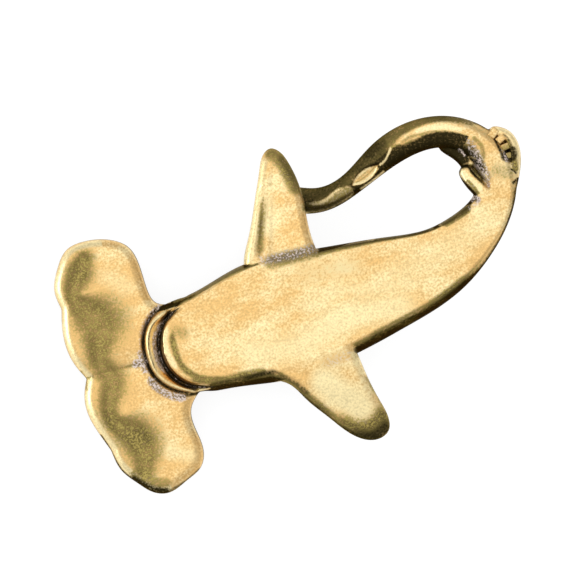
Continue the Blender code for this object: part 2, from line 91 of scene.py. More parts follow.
# One section of a long form: its centre seen on the belly, its half width, the widths of the flanks that
# show on the loop side and on the outer side, the height of its top and its depth below that
Section = namedtuple("Section", "x y half_width loop_flank outer_flank top depth")
section = partial(in_mm, Section)

# The share of the depth at which a section is widest, the power of its flanks' curve, and the share of its
# width that is left at a rounded end
WIDEST_LEVEL = 0.42
FLANK_POWER = 2 / 1.7
LEAST_END = 0.02

# A plate with a rounded rim: the level of its top, its thickness and how far its rim is rounded
Plate = namedtuple("Plate", "top thickness rim")
HAMMER_PLATE = in_mm(Plate, -0.9, 4.6, 1.2)
NECK_PLATE = in_mm(Plate, -1.25, 5.4, 1.6)
PECTORAL_PLATES = (in_mm(Plate, -0.3, 2.7, 1.15), in_mm(Plate, -0.12, 2.7, 1.15))
PELVIC_FLOOR = in_mm(Plate, -1.9, 2.4, 0.8)

# How a pectoral fin changes from its root, this far from the body's middle line, to its tip
FIN_MIDDLE, FIN_ROOT, FIN_LENGTH = 1.0 * MM, 7.0 * MM, 14.5 * MM
FIN_TIP_DROP, FIN_TIP_THINNING = 1.25 * MM, 0.35

# A fin of the back: its chord at the root, its height and its thickness there; how deep the fins' roots are
# sunk in the back, and how far ahead of the deepest section the front one stands
Dorsal = namedtuple("Dorsal", "chord height thickness")
FRONT_DORSAL = in_mm(Dorsal, 11.5, 3.6, 2.4)
REAR_DORSAL = in_mm(Dorsal, 4.5, 1.9, 1.44)
DORSAL_SUNK = 0.4 * MM
FRONT_DORSAL_AHEAD = 3.0 * MM

JAW_RADIUS = 5.6 * MM
HOOK_TIP_RADIUS = 1.7 * MM
BODY = (
    section(-12.5, 0.62, 6.50, 0.8, 1.5, 0.0, 7.2),
    section(-5.0, 0.98, 7.90, 0.8, 1.8, 0.0, 8.8),
    section(3.5, 0.95, 7.50, 0.7, 1.8, 0.0, 9.2),
    section(12.0, 1.35, 6.15, 0.5, 1.6, 0.0, 8.6),
    section(19.5, 2.22, 4.62, 0.4, 1.3, 0.0, 7.2),
    section(24.2, 4.25, 3.58, 0.5, 0.9, 0.0, 6.0),
    section(28.6, 8.0, 2.60, 0.6, 0.6, 0.0, 5.0),
    section(30.0, 12.6, 2.30, 1.5, 1.3, 0.0, 4.4),
    section(27.3, 17.15, 2.0, 1.9, 1.1, -0.1, 3.9),
    section(22.0, 18.85, 2.02, 1.7, 1.0, -0.5, 3.9),
    section(16.3, 17.65, 1.92, 1.4, 2.3, -1.5, 3.9),
    section(11.3, 15.25, 1.45, 0.9, 1.6, -2.9, 3.5),
    section(7.2, 14.35, 1.52, 1.3, 1.4, -4.2, 3.3),
    section(2.4, 15.8, 1.75, 1.3, 1.9, -5.2, 3.3),
)
PELVIC_RIDGES = (
    (
        section(28.4, 7.6, 1.0, 0.3, 0.3, 0.0, 3.6),
        section(27.4, 9.7, 1.05, 0.3, 0.3, -0.05, 3.8),
        section(26.4, 11.7, 1.0, 0.3, 0.3, -0.15, 3.6),
        section(25.85, 13.3, 0.75, 0.35, 0.3, -0.4, 3.0),
    ),
    (
        section(30.9, 8.4, 0.6, 0.3, 0.3, -0.4, 3.2),
        section(32.3, 11.2, 0.65, 0.3, 0.3, -0.3, 3.2),
        section(32.95, 13.8, 0.65, 0.3, 0.3, -0.2, 3.2),
        section(32.5, 15.6, 0.65, 0.3, 0.3, -0.3, 3.0),
        section(30.5, 16.9, 0.6, 0.3, 0.3, -0.6, 2.6),
    ),
)
HAMMER_LOOP_SIDE = (
    plan((-28.85, 0.3), (-29.95, 2.8), (-30.3, 5.6), (-30, 8), (-29.5, 9.9)),
    plan(
        *((-29.5, 9.9), (-29.75, 12.4), (-28.55, 15.15), (-26.7, 17.2), (-24.2, 17.6), (-21, 16.9)),
        *((-18.9, 15.3), (-18.2, 12.8), (-18.1, 9.6), (-17.5, 7.4), (-15.5, 6.6)),
    ),
)
HAMMER_OUTER_SIDE = (
    plan((-28.85, 0.3), (-29.75, -1.8), (-29.95, -4.2), (-29.2, -7.2), (-28.35, -9.6)),
    plan(
        *((-28.35, -9.6), (-27.8, -12.4), (-26.1, -14.75), (-24.6, -16.3), (-22.8, -16.95), (-19.8, -16)),
        *((-17.6, -14.8), (-16.8, -13), (-17, -10), (-16.9, -7.4), (-15, -5.2)),
    ),
)
NECK_OUTLINE = plan(
    *((-22.5, 3.5), (-20.5, 5.8), (-17.6, 6.6), (-12, 6.5), (-10, 3.5), (-10, -3.5)),
    *((-12, -5.4), (-16.5, -5.2), (-20.5, -4.6), (-22.5, -2.5)),
)
PECTORAL_OUTLINES = (
    plan(
        *((-2.5, 4.5), (-5.1, 8.2), (-3.6, 12), (-1.2, 17), (0.3, 20.3), (1.35, 22.1), (2.4, 22.6)),
        *((3.45, 21.9), (4.2, 20.2), (4.65, 18), (4.75, 15.2), (4.45, 11.5), (4.6, 8.2), (5.6, 4.5)),
    ),
    plan(
        *((5.6, -3.5), (6.1, -7), (6.5, -10), (7.15, -13), (7.6, -15.6), (7.2, -17), (5.6, -17.75)),
        *((3.8, -17.3), (2, -15.8), (0, -13.1), (-2.1, -10.1), (-4.1, -7.3), (-6, -6), (-5, -3.5)),
    ),
)
PELVIC_FLOORS = (
    plan((28.8, 9), (26.6, 11), (25.7, 13.4), (24.9, 14.8), (23.6, 16.7), (25.5, 18), (29.5, 15.5)),
    plan((30.6, 10.4), (32.3, 11.6), (33, 14), (32.2, 16.2), (30, 17.1), (29.6, 14)),
)
SLOT_PATH = plan(
    *((-13.9, 6.05), (-16.4, 5.1), (-17.9, 3.6), (-18.7, 1.5), (-18.7, -0.5), (-18.1, -2.2), (-16.8, -3.9)),
    *((-14.9, -4.85), (-12.4, -5.3)),
)
LIP_PATH = plan(
    *((-14.2, 6.35), (-17.2, 5.6), (-18.9, 4.5), (-19.7, 3), (-19.95, 1.2), (-19.85, -0.6), (-19.35, -2.2)),
    *((-18, -3.75), (-15.8, -4.95), (-13.4, -5.4)),
)
GROOVE_PATH = plan(
    *((-16.6, 6.75), (-18.5, 5.75), (-19.9, 4.1), (-20.6, 2), (-20.7, 0.2), (-20.3, -1.7), (-19.2, -3.4)),
    *((-17.3, -4.8), (-15.2, -5.45)),
)
CREASE_PATH = plan((-29.2, 0.3), (-25, 0.3), (-21.6, 0.3))
TROUGH_PATH = plan((0.35, 18.2), (-0.6, 15.4), (-1.8, 12.2), (-2.9, 9))
JAW_BAND_PATH = plan(
    *((-15.6, 3.9), (-16.5, 2.6), (-16.7, 0.8), (-16.5, -1.2), (-15.5, -2.9), (-13.6, -4.1), (-10.5, -4.6)),
)
PELVIC_GROOVE_PATH = plan((26.9, 13.2), (27.4, 11.9), (28.1, 10.7), (28.4, 9.5))

# The leaf filed into the hook's strand, and the carving of the hammer, jaw and fins
LEAF_CENTRE = Vector((13.35, 15.75)) * MM
LEAF_LENGTH, LEAF_WIDTH = 4.3 * MM, 1.5 * MM
LEAF_TURN = math.radians(23)
LEAF_ALONG = np.array([math.cos(LEAF_TURN), math.sin(LEAF_TURN)])
LEAF_ACROSS = np.array([-math.sin(LEAF_TURN), math.cos(LEAF_TURN)])
LEAF_LEVEL, LEAF_SLOPE = -2.75 * MM, 0.22
HAMMER_MIDDLE = 0.6 * MM
CREASE_SPREADS = (0.3 * MM, 1.8 * MM)
JAW_BAND_WIDTH, JAW_BAND_DEPTH = 1.6 * MM, 0.14 * MM
PELVIC_GROOVE_WIDTH, PELVIC_GROOVE_DEPTH = 1.1 * MM, 0.8 * MM
TROUGH_WIDTH = 2.0 * MM

# How far along the body the hook's strand starts, and the edge of the fin that hides the hook's end
STRAND_START = 0.665
FIN_BACK_EDGE = 4.85 * MM
STRAND_FACET_PATH = plan(
    *((29.3, 14.8), (28.6, 17), (27, 18.15), (25.2, 18.95), (23, 19.3), (21, 19.1), (19.4, 18.8)),
    *((18.2, 18.5), (17.5, 18.1)),
)
KNOB_PATH = plan((30.9, 16.45), (31.6, 15.55), (31.95, 14.35), (31.95, 13.1))
KNOB_LEVEL = -1.0 * MM
SHOULDER_PATH = plan((-15, 7), (-12, 7.4), (-8, 8.2), (-5.5, 8.7))
PEDUNCLE_PATH = plan((20.5, 6.8), (22, 7.05), (23.5, 7.45), (24.8, 7.95), (25.6, 8.4))
INNER_PELVIC_PATH = plan((27.2, 17), (27.7, 15.6), (28, 14), (28.3, 12.4), (28.5, 11), (28.4, 9.9))
HOOK_END_PATH = plan((5, 13.8), (7.5, 13.6), (10.6, 14.3))

# The valley pressed into the hammer's face behind its raised front edge: a point of its floor, how far it
# reaches to each side there, and its depth
valley = partial(in_mm, namedtuple("Valley", "x y reach depth"))
HAMMER_VALLEY = (
    valley(-24.9, 15.4, 1.4, 0.20),
    valley(-26.2, 13.4, 2.1, 0.30),
    valley(-27.6, 10.9, 1.5, 0.25),
    valley(-26.2, 8.6, 3.2, 0.36),
    valley(-25.3, 6.6, 3.9, 0.42),
    valley(-26.0, 4.0, 2.5, 0.36),
    valley(-26.5, 1.6, 1.7, 0.30),
    valley(-25.7, -0.8, 2.1, 0.28),
    valley(-26.9, -3.6, 1.6, 0.32),
    valley(-26.9, -6.2, 1.5, 0.28),
    valley(-24.7, -8.6, 2.9, 0.36),
    valley(-24.3, -10.6, 2.6, 0.36),
    valley(-25.0, -13.6, 1.5, 0.22),
)


# One stroke of the patina and of the painted light and shade: what it lays down, how strongly, how far it
# reaches to each side at full strength, and how far it fades out beyond that. The dark layer is dark patina
# and painted shade, the olive layer thin patina and painted shade. Bare and clean strokes take off what lies
# there, and a bare one leaves the brass pale, as rubbing and as a painted highlight.
LAYERS = ("soot_and_shade", "olive", "residue", "bare_and_highlight")
Stroke = namedtuple("Stroke", "layer strength reach fade path")


def stroke(layer, strength, reach, fade, *path):
    path = plan(*path) if isinstance(path[0], tuple) else path[0]
    return Stroke(layer, strength, reach * MM, fade * MM, path)


soot_and_shade, olive, residue, bare_and_highlight, clean = (partial(stroke, layer) for layer in LAYERS + ("clean",))

# Mouth: dark patina and polish residue in the slot and groove; the bare lines on the jaw's edge and the lip
# are painted highlights, and the olive bands beside the jaw are painted shade
MOUTH_STROKES = (
    soot_and_shade(1.0, 0.26, 0.14, SLOT_PATH),
    soot_and_shade(1.0, 0.14, 0.14, GROOVE_PATH),
    soot_and_shade(0.9, 0.1, 0.25, (-17.6, -5.3), (-15.6, -5.5), (-13.5, -5.8)),
    olive(1.0, 0.2, 0.45, JAW_BAND_PATH),
    olive(0.5, 0.4, 0.9, (-15.9, 3.1), (-15.2, 2.6)),
    olive(1.0, 0.25, 0.5, (-15.2, -3.6), (-13.4, -4.4), (-10.6, -4.8), (-6.6, -5.1)),
    olive(0.8, 0.08, 0.25, CREASE_PATH),
    residue(0.28, 0.05, 0.25, SLOT_PATH),
    bare_and_highlight(0.9, 0.25, 0.3, (-16.6, 4.2), (-17.4, 3), (-17.8, 1.8), (-17.8, 0.6), (-17.5, -0.7), (-16.9, -2)),
    bare_and_highlight(
        *(0.9, 0.14, 0.16, (-14.5, 6.2), (-16.5, 5.85), (-18.3, 5.15), (-19.4, 4), (-20, 2.7)),
        *((-20.2, 1.2), (-20.15, -0.3), (-19.8, -1.8), (-19.1, -3), (-17.8, -4.05), (-16.3, -4.8)),
        (-13, -5.35),
    ),
    soot_and_shade(0.85, 0.02, 0.12, (-17, 5.5), (-18.4, 4.8), (-19.3, 3.7), (-19.8, 2.4), (-20, 0.8), (-19.6, -2.1)),
    bare_and_highlight(0.8, 0.1, 0.16, (-17.2, 5), (-18.5, 4.2), (-19.2, 3.2), (-19.6, 1.8), (-19.65, 0.4), (-18.9, -2.5)),
    residue(
        *(0.8, 0.16, 0.25),
        *((-16.6, 5.1), (-18.3, 3.8), (-19.1, 2.2), (-19.25, 0.9), (-19.2, -0.5), (-18.5, -2.3)),
    ),
    residue(
        *(0.5, 0.05, 0.22),
        *((-17.3, 6.6), (-19.3, 5.2), (-20.7, 3.1), (-21.05, 0.9), (-20.9, -0.8), (-20.2, -2.5)),
    ),
    residue(0.6, 0.1, 0.3, (-20.5, 3.8), (-19.5, 5.2), (-18.3, 6.2), (-17.2, 6.8)),
    residue(0.8, 0.3, 0.5, (-22, 0.35), (-21.2, 0.4)),
    residue(0.75, 0.15, 0.4, (-21.2, 1.6), (-21.25, -0.8)),
    residue(0.85, 0.3, 0.45, (-21.1, -1.3), (-20.6, -2.8), (-19.7, -4.1), (-18.5, -5), (-16.6, -5.9)),
)
# Hammer: painted shade along its lower end and the edges that turn down, and painted highlights on its front
# rim
HAMMER_STROKES = (
    soot_and_shade(0.9, 0.35, 0.45, (-26.6, -14.1), (-24.7, -15.9), (-22.9, -16.8)),
    soot_and_shade(0.8, 0.12, 0.2, (-29.1, -7.4), (-28.4, -9.8), (-27.8, -12.3), (-26.8, -13.9)),
    soot_and_shade(0.7, 0.12, 0.25, (-22.9, -16.85), (-20, -16.1), (-17.9, -15.1)),
    olive(0.7, 0.1, 0.2, (-29.2, -1), (-29, 0.3), (-29.3, 1.4)),
    olive(0.7, 0.4, 0.6, (-26.2, -13.2), (-24.6, -14.7), (-22.6, -15.6)),
    bare_and_highlight(1.0, 0.15, 0.35, (-28.9, 14.1), (-29.35, 12.4), (-29.15, 10.9)),
    bare_and_highlight(1.0, 0.12, 0.3, (-29.75, 8), (-29.9, 5.8), (-29.5, 3.6)),
    bare_and_highlight(1.0, 0.12, 0.3, (-29.4, -1.8), (-29.6, -3.6), (-29.1, -5.6)),
    bare_and_highlight(1.0, 0.1, 0.3, (-27.8, -9.8), (-27.3, -11.6), (-26.6, -12.8)),
)
# Fins: painted shade in the upper fin's trough, on its trailing edge and along the lower fin's leading edge
# and tip; painted highlights on the leading edge and the middles; patina and residue at the roots
FIN_STROKES = (
    olive(0.9, 0.15, 0.6, (0, 17.1), (-0.6, 15.4), (-1.2, 13.9), (-1.8, 12.2), (-2.9, 9)),
    soot_and_shade(0.3, 0.05, 0.3, (-0.2, 16.6), (-1.2, 13.9), (-2.3, 11), (-2.9, 9.4)),
    olive(0.9, 0.7, 0.8, (2.6, 21.9), (3.5, 20.4), (4, 18.6), (4.3, 16.8)),
    soot_and_shade(0.35, 0.25, 0.5, (3.4, 20.9), (4.2, 18.8), (4.5, 16.9)),
    bare_and_highlight(0.7, 0.4, 0.5, (-4.1, 9.6), (-2.7, 12.9), (-0.9, 17.4), (0.9, 21)),
    bare_and_highlight(0.5, 0.3, 1.0, (0.3, 16), (-0.6, 12)),
    olive(1.0, 0.35, 0.6, (-4.4, -6.5), (-3, -8.4), (-2.2, -9.6)),
    olive(1.0, 0.4, 0.7, (-2.5, -9.2), (-0.6, -12), (1.2, -14.4), (3.3, -16.4)),
    soot_and_shade(0.8, 0.15, 0.4, (-4.6, -6.9), (-2.8, -9.2), (-0.3, -12.7), (1.9, -15.5), (4.2, -17.3)),
    soot_and_shade(0.6, 0.15, 0.5, (-4.6, -6.3), (-3.2, -7.4), (-1.9, -9.2)),
    olive(1.0, 1.1, 1.5, (2.2, -15), (4.4, -16.2), (6.6, -15.6)),
    soot_and_shade(0.75, 0.4, 1.3, (3, -16.8), (5, -17.3), (6.8, -16.7)),
    olive(0.6, 0.05, 0.3, (6.2, -9.5), (7, -12.7), (7.4, -15.4)),
    bare_and_highlight(1.0, 1.0, 1.5, (0.9, -8.6), (2.6, -11), (4.4, -13)),
    clean(1.0, 0.35, 0.3, (-2.7, 8.6), (4.6, 8.35)),
    clean(1.0, 0.5, 0.6, (-1.4, -5.6), (5, -5.4)),
    olive(0.7, 0.6, 0.7, (-1.5, 8.3), (4.6, 8.1)),
    soot_and_shade(0.4, 0.3, 0.6, (-1.2, 8.5), (4.8, 8.3)),
    soot_and_shade(0.35, 0.3, 0.9, (0.5, 8.4), (4.8, 8)),
    residue(0.36, 0.3, 0.7, (-2.4, 8.8), (1, 8.55), (4.7, 8.5)),
    olive(0.2, 0.4, 0.9, (1.6, -6.2), (5, -6)),
    residue(0.24, 0.25, 0.9, (2, -6.4), (5.3, -6.2)),
    bare_and_highlight(0.8, 0.3, 0.3, (5.5, -6.3), (5.9, -7.1)),
)
# Belly: paler patches across it, and painted shade in the bands along its edges where the flanks turn away
BELLY_STROKES = (
    bare_and_highlight(0.7, 0.6, 2.4, (-7, -2.4), (0, -3), (5, -1.6), (13, -1.8)),
    bare_and_highlight(0.5, 0.3, 1.4, (1.5, 1.4), (6.5, 2.2), (10, 1.2), (15, 1)),
    bare_and_highlight(0.4, 0.5, 2.4, (14, 2.4), (20, 3.6), (26, 5.4)),
    bare_and_highlight(0.6, 0.3, 1.2, (-20.6, -12), (-18.6, -13)),
    bare_and_highlight(0.4, 0.3, 1.4, (-22.6, 12.4), (-20.4, 10.4)),
    olive(0.16, 0.6, 1.8, (2, 5.6), (9, 4.8)),
    bare_and_highlight(0.55, 0.1, 0.3, (11.5, 7.7), (15.5, 7.05), (19.8, 6.85)),
    clean(0.6, 0.2, 0.2, (5, 8.3), (8, 8), (12, 7.6)),
    olive(0.95, 0.38, 0.25, (5, 7.85), (8, 7.65), (12, 7.4), (15.5, 7.1)),
    soot_and_shade(0.35, 0.35, 0.2, (5, 8), (8, 7.8), (12, 7.5)),
    soot_and_shade(0.75, 0.2, 0.4, (-15, -4.95), (-12, -5.15), (-8, -5.45), (-5, -5.65), (-3.6, -6.3)),
    clean(0.6, 0.2, 0.3, SHOULDER_PATH),
    olive(0.95, 0.3, 0.3, SHOULDER_PATH),
    olive(0.9, 0.3, 0.5, (6.2, -4.9), (10, -4.3), (15, -3.25), (20, -1.7), (24, 0.4)),
    soot_and_shade(0.85, 0.25, 0.4, (6.2, -5.4), (8, -5), (11, -4.5), (15.5, -3.5), (20.5, -2), (24.5, 0.2)),
)
# Tail: painted shade in the recess inside the hook, along the peduncle and the outer edge; dark and olive in
# the pelvic groove and round the knobs; residue in the hollows; painted highlights on the outer pelvic fin's
# rim
TAIL_STROKES = (
    clean(0.6, 0.3, 0.2, PEDUNCLE_PATH),
    olive(1.0, 0.42, 0.2, (20.8, 6.75), (22, 6.95), (23.5, 7.35), (24.8, 7.8), (25.6, 8.2)),
    soot_and_shade(0.6, 0.3, 0.2, (20.8, 6.85), (22, 7.05), (23.5, 7.45), (24.8, 7.9), (25.6, 8.4)),
    soot_and_shade(0.95, 0.9, 0.5, (23.4, 17.1), (25, 16.3), (25.8, 15.4), (26.1, 14.6)),
    bare_and_highlight(1.0, 0.35, 0.25, (25.6, 13.3), (25.7, 12.3), (26.3, 11.2), (27, 10.2), (27.5, 9.3)),
    soot_and_shade(0.8, 0.08, 0.22, (26.5, 13.6), (27, 12.6), (27.3, 12)),
    olive(1.0, 0.12, 0.16, (25.95, 11.4), (26.45, 10.5), (26.8, 9.5)),
    olive(0.6, 0.4, 0.4, INNER_PELVIC_PATH),
    residue(0.5, 0.3, 0.5, INNER_PELVIC_PATH),
    soot_and_shade(0.7, 0.12, 0.3, (26.5, 15.9), (27.2, 15), (27.5, 13.9)),
    soot_and_shade(0.9, 0.05, 0.12, (27.4, 15.9), (27.9, 15.2)),
    soot_and_shade(0.9, 0.05, 0.12, (27.6, 14.6), (28.1, 13.8)),
    soot_and_shade(0.8, 0.05, 0.12, (27.9, 13.2), (28.4, 12.3)),
    bare_and_highlight(0.9, 0.05, 0.15, (27, 14.4), (27.7, 13.9)),
    bare_and_highlight(0.9, 0.05, 0.15, (28, 12), (28.4, 11.3)),
    bare_and_highlight(0.8, 0.2, 0.4, (27.1, 13.2), (27.6, 12), (28.1, 10.8)),
    olive(0.85, 0.15, 0.3, (26.9, 13.2), (27.4, 12), (27.9, 11)),
    residue(0.6, 0.15, 0.3, (27.6, 13), (28, 12), (28.3, 11), (28.4, 10)),
    residue(0.8, 0.05, 0.2, (26, 15.6), (26.4, 15.2), (26.5, 14.7)),
    residue(1.0, 0.25, 0.3, (26.1, 8.9), (26.5, 8.7)),
    residue(0.3, 0.1, 0.3, (25.2, 7.9), (26.6, 8.3)),
    olive(0.8, 0.15, 0.3, (28.3, 16.4), (28.9, 15.2), (28.8, 13.8)),
    olive(0.4, 0.5, 0.9, (30, 11.6), (31.3, 10.9)),
    bare_and_highlight(0.8, 0.4, 0.5, (33, 15.9), (33.3, 14.5), (33.2, 13)),
    soot_and_shade(0.95, 0.1, 0.18, (30.5, 17), (30.75, 15.9), (31, 14.6), (31.25, 13.3), (31.6, 12.3)),
    olive(0.9, 0.25, 0.3, (32.2, 14.9), (32.5, 13.8), (32.5, 12.6), (32.3, 11.2)),
    soot_and_shade(0.7, 0.05, 0.2, (32.1, 15.9), (32.6, 15), (32.75, 13.9)),
    soot_and_shade(0.85, 0.5, 0.35, (31.6, 13.1), (32.3, 12.9), (32.5, 13.6)),
    residue(0.6, 0.1, 0.25, (31.3, 13.8), (31.6, 12.5)),
    bare_and_highlight(1.0, 0.1, 0.2, (30.8, 17), (31.8, 16.7), (32.5, 16.2)),
    soot_and_shade(0.75, 0.12, 0.3, (32.1, 9.8), (31.2, 7.6), (30.2, 5.2), (28.4, 2.9), (26.4, 1.2)),
    soot_and_shade(0.9, 0.12, 0.12, (31.6, 9.5), (31.9, 9.7)),
    soot_and_shade(0.8, 0.05, 0.12, (31.8, 11.3), (32.3, 10.6)),
    soot_and_shade(0.6, 0.05, 0.12, (30.4, 17.1), (31, 16.6)),
)
# Hook's strand: painted highlights along its bright facet and its end, and olive painted shade beside them
HOOK_STROKES = (
    bare_and_highlight(0.9, 0.08, 0.15, (17.5, 18.2), (17, 17.6), (16.4, 16.95), (15.6, 16.55)),
    bare_and_highlight(0.8, 0.5, 0.4, HOOK_END_PATH),
    olive(0.85, 0.5, 0.4, HOOK_END_PATH),
    bare_and_highlight(0.75, 0.08, 0.2, (5, 14.25), (6.8, 13.95), (8, 14.3), (9.1, 14.85), (10.6, 15.1)),
    olive(0.6, 0.05, 0.15, (24.5, 18.6), (26, 17.9), (27.2, 17.2)),
    bare_and_highlight(0.7, 0.05, 0.2, (12.4, 14.3), (14.2, 14.9), (15.8, 15.6)),
    olive(0.65, 0.1, 0.25, (19.2, 18.6), (21, 18.95), (23, 18.7)),
    soot_and_shade(0.6, 0.05, 0.1, (21.2, 18.35), (22.2, 18.5), (23.2, 18.3)),
    bare_and_highlight(1.0, 0.15, 0.3, (21.4, 19.4), (23.6, 19.3), (25.4, 18.8), (26.8, 18.1)),
    olive(0.7, 0.06, 0.14, (20, 19), (21.8, 18.95), (23.4, 18.8), (24.6, 18.4)),
    olive(0.8, 0.1, 0.3, (17.8, 18.6), (18.8, 18.2), (20.4, 18.4)),
)
# Leaf: light and dark lines along the filed leaf's edges
LEAF_STROKES = (
    soot_and_shade(0.8, 0.06, 0.12, (11.5, 14.75), (12.6, 14.75), (13.9, 15.15), (15.3, 16.1)),
    bare_and_highlight(1.0, 0.1, 0.15, (11.6, 15.1), (12.5, 15), (13.8, 15.35), (15.1, 16.2)),
    bare_and_highlight(0.8, 0.06, 0.12, (11.7, 15.5), (12.8, 16.1), (14.2, 16.6)),
    olive(0.7, 0.04, 0.12, (12, 15.2), (13.3, 15.6), (14.9, 16.5)),
    olive(0.6, 0.04, 0.1, (12.4, 15.6), (13.9, 16.3)),
    soot_and_shade(0.7, 0.03, 0.1, (11.3, 15.2), (11.9, 15.9), (13, 16.5), (14.5, 17)),
)


def length(name, description, default):
    kind = {"unit": "LENGTH", "subtype": "DISTANCE", "precision": 5}
    return bpy.props.FloatProperty(name=name, description=description, default=default, min=0.0, **kind)


def watts(name, description, default):
    return bpy.props.FloatProperty(name=name, description=description, default=default, min=0.0, unit="POWER")


def colour(name, description, default):
    kind = {"min": 0.0, "max": 1.0, "size": 4, "subtype": "COLOR"}
    return bpy.props.FloatVectorProperty(name=name, description=description, default=default, **kind)


def share(name, description, default):
    kind = {"min": 0.0, "max": 1.0, "subtype": "FACTOR"}
    return bpy.props.FloatProperty(name=name, description=description, default=default, **kind)


def whole_number(name, description, default):
    return bpy.props.IntProperty(name=name, description=description, default=default, min=1)


class CastingSizes(bpy.types.PropertyGroup):
    """Sizes of the carved casting."""

    cell: length("Skin Cell", "Size of the cells in which the shapes are fused", 0.16 * MM)
    smoothing: whole_number("Smoothing", "Passes that round the joins", 8)
    put_back: length("Metal Put Back", "What the smoothing costs, given back all over", 0.1 * MM)
    facets: whole_number("Facets", "Triangles that the skin keeps", 190000)
    slot_width: length("Mouth Slot Width", "Width of the dark slot round the jaw", 1.1 * MM)
    slot_depth: length("Mouth Slot Depth", "Depth of the dark slot round the jaw", 1.2 * MM)
    lip_width: length("Lip Width", "Width of the raised lip", 1.8 * MM)
    lip_height: length("Lip Height", "How far the lip stands above the neck", 0.75 * MM)
    groove_width: length("Groove Width", "Width of the groove outside the lip", 0.75 * MM)
    groove_depth: length("Groove Depth", "Depth of the groove outside the lip", 0.8 * MM)
    crease_depth: length("Crease Depth", "Depth of the crease in the middle of the hammer", 0.25 * MM)
    trough_depth: length("Fin Trough Depth", "Depth of the trough behind a fin's leading edge", 0.3 * MM)
    knob_size: length("Knob Size", "Side of the largest knob in the outer pelvic fin", 1.45 * MM)


class BrassFinish(bpy.types.PropertyGroup):
    """Colours of the brass, of what time has left on it, and of the painted shade and highlights."""

    brass: colour("Brass", "Worn brass on the high places", (0.78, 0.50, 0.19, 1.0))
    # Pale brass: paler clouds, rubbed places and painted highlights
    pale: colour("Pale Brass", "Rubbed places, where the brass is palest", (0.91, 0.755, 0.41, 1.0))
    # Olive: thin patina in the hollows, also painted shade on slopes that turn away from the light
    olive: colour("Olive Patina", "Thin patina in the hollows", (0.24, 0.185, 0.055, 1.0))
    # Dark: patina in the grooves, also painted shade on the flanks and wherever the skin turns away from the
    # belly
    soot_and_shade: colour("Dark Patina", "Thick patina on the flanks and in the grooves", (0.034, 0.026, 0.009, 1.0))
    residue: colour("Polish Residue", "Dried polish round mouth and fin roots", (0.76, 0.64, 0.57, 1.0))
    glint: colour("Patina Glint", "What the patina reflects at a slant", (0.4, 0.32, 0.16, 1.0))
    roughness: share("Roughness", "Roughness of the worn brass", 0.36)
    grain: share("Grain", "How strongly the cast grain shows", 0.5)


class StudioSettings(bpy.types.PropertyGroup):
    """The studio that the casting lies in."""

    distance: length("Camera Distance", "How far the camera stands above the belly", 0.8)
    seen_width: length("Seen Width", "Width of the view at the belly", FRAME_PIXELS * 0.13 * MM)
    roll: bpy.props.FloatProperty(
        name="Roll", description="Turn of the casting in the view", default=math.radians(16), subtype="ANGLE"
    )
    top_light: watts("Top Light", "Power of the large lamp above", 0.34)
    side_light: watts("Side Light", "Power of the lamp on the hammer's side", 0.7)
    sky: share("Sky", "Strength of the light from all round", 0.8)


def spline(rows, spacing=None, count=None):
    """Rows of numbers read from a natural cubic spline through the given rows, and where each is."""
    rows = np.array([tuple(row) for row in rows], float)
    steps = np.linalg.norm(np.diff(rows[:, :2], axis=0), axis=1)
    at = np.concatenate([[0.0], np.cumsum(steps)])
    size = len(rows)
    system = np.eye(size)
    change = np.zeros_like(rows)
    for i in range(1, size - 1):
        system[i, i - 1 : i + 2] = steps[i - 1], 2 * (steps[i - 1] + steps[i]), steps[i]
        change[i] = 6 * ((rows[i + 1] - rows[i]) / steps[i] - (rows[i] - rows[i - 1]) / steps[i - 1])
    bend = np.linalg.solve(system, change)
    read = np.linspace(0.0, at[-1], count or max(3, round(at[-1] / spacing)))
    span = np.clip(np.searchsorted(at, read, side="right") - 1, 0, size - 2)
    h = steps[span][:, None]
    a = (at[span + 1] - read)[:, None]
    b = (read - at[span])[:, None]
    found = (bend[span] * a**3 + bend[span + 1] * b**3) / (6 * h)
    found += (rows[span] / h - bend[span] * h / 6) * a + (rows[span + 1] / h - bend[span + 1] * h / 6) * b
    return found, read


def closed_curve(points, spacing):
    return spline(points + points[:1], spacing=spacing)[0][:-1]


def hammer_outline():
    sides = (HAMMER_LOOP_SIDE, HAMMER_OUTER_SIDE)
    loop_side, outer_side = (
        np.concatenate([spline(run, spacing=0.35 * MM)[0][:-1] for run in side]) for side in sides
    )
    return np.concatenate([loop_side, outer_side[:0:-1]])


def near_path(points, path):
    """How far each point lies from a path in plan, and how far along the path its nearest point is."""
    nearest = np.full(len(points), np.inf)
    along = np.zeros(len(points))
    ends = len(path) - 1
    for i in range(ends):
        step = path[i + 1] - path[i]
        t = np.clip((points - path[i]) @ step / (step @ step), 0.0, 1.0)
        away = np.linalg.norm(points - path[i] - t[:, None] * step, axis=1)
        closer = away < nearest
        nearest[closer] = away[closer]
        along[closer] = (i + t[closer]) / ends
    return nearest, along


def ramp(value, start, width, most=1.0):
    """Rises from 0 at its start to 1 past its width; a negative width turns it round."""
    return np.clip((value - start) / width, 0.0, most)


def rounding(distance, radius):
    """The share of its full size that a rounded end has at a distance from its tip."""
    inward = min(max(distance / radius, 0.0), 1.0)
    return math.sqrt(max(1.0 - (1.0 - inward) ** 2, 0.0))


def loft(rings):
    shape = bmesh.new()
    loops = [[shape.verts.new(point) for point in ring] for ring in rings]
    for one, other in zip(loops, loops[1:]):
        for i in range(len(one)):
            k = (i + 1) % len(one)
            shape.faces.new((one[i], one[k], other[k], other[i]))
    shape.faces.new(loops[0][::-1])
    shape.faces.new(loops[-1])
    bmesh.ops.recalc_face_normals(shape, faces=shape.faces)
    return shape


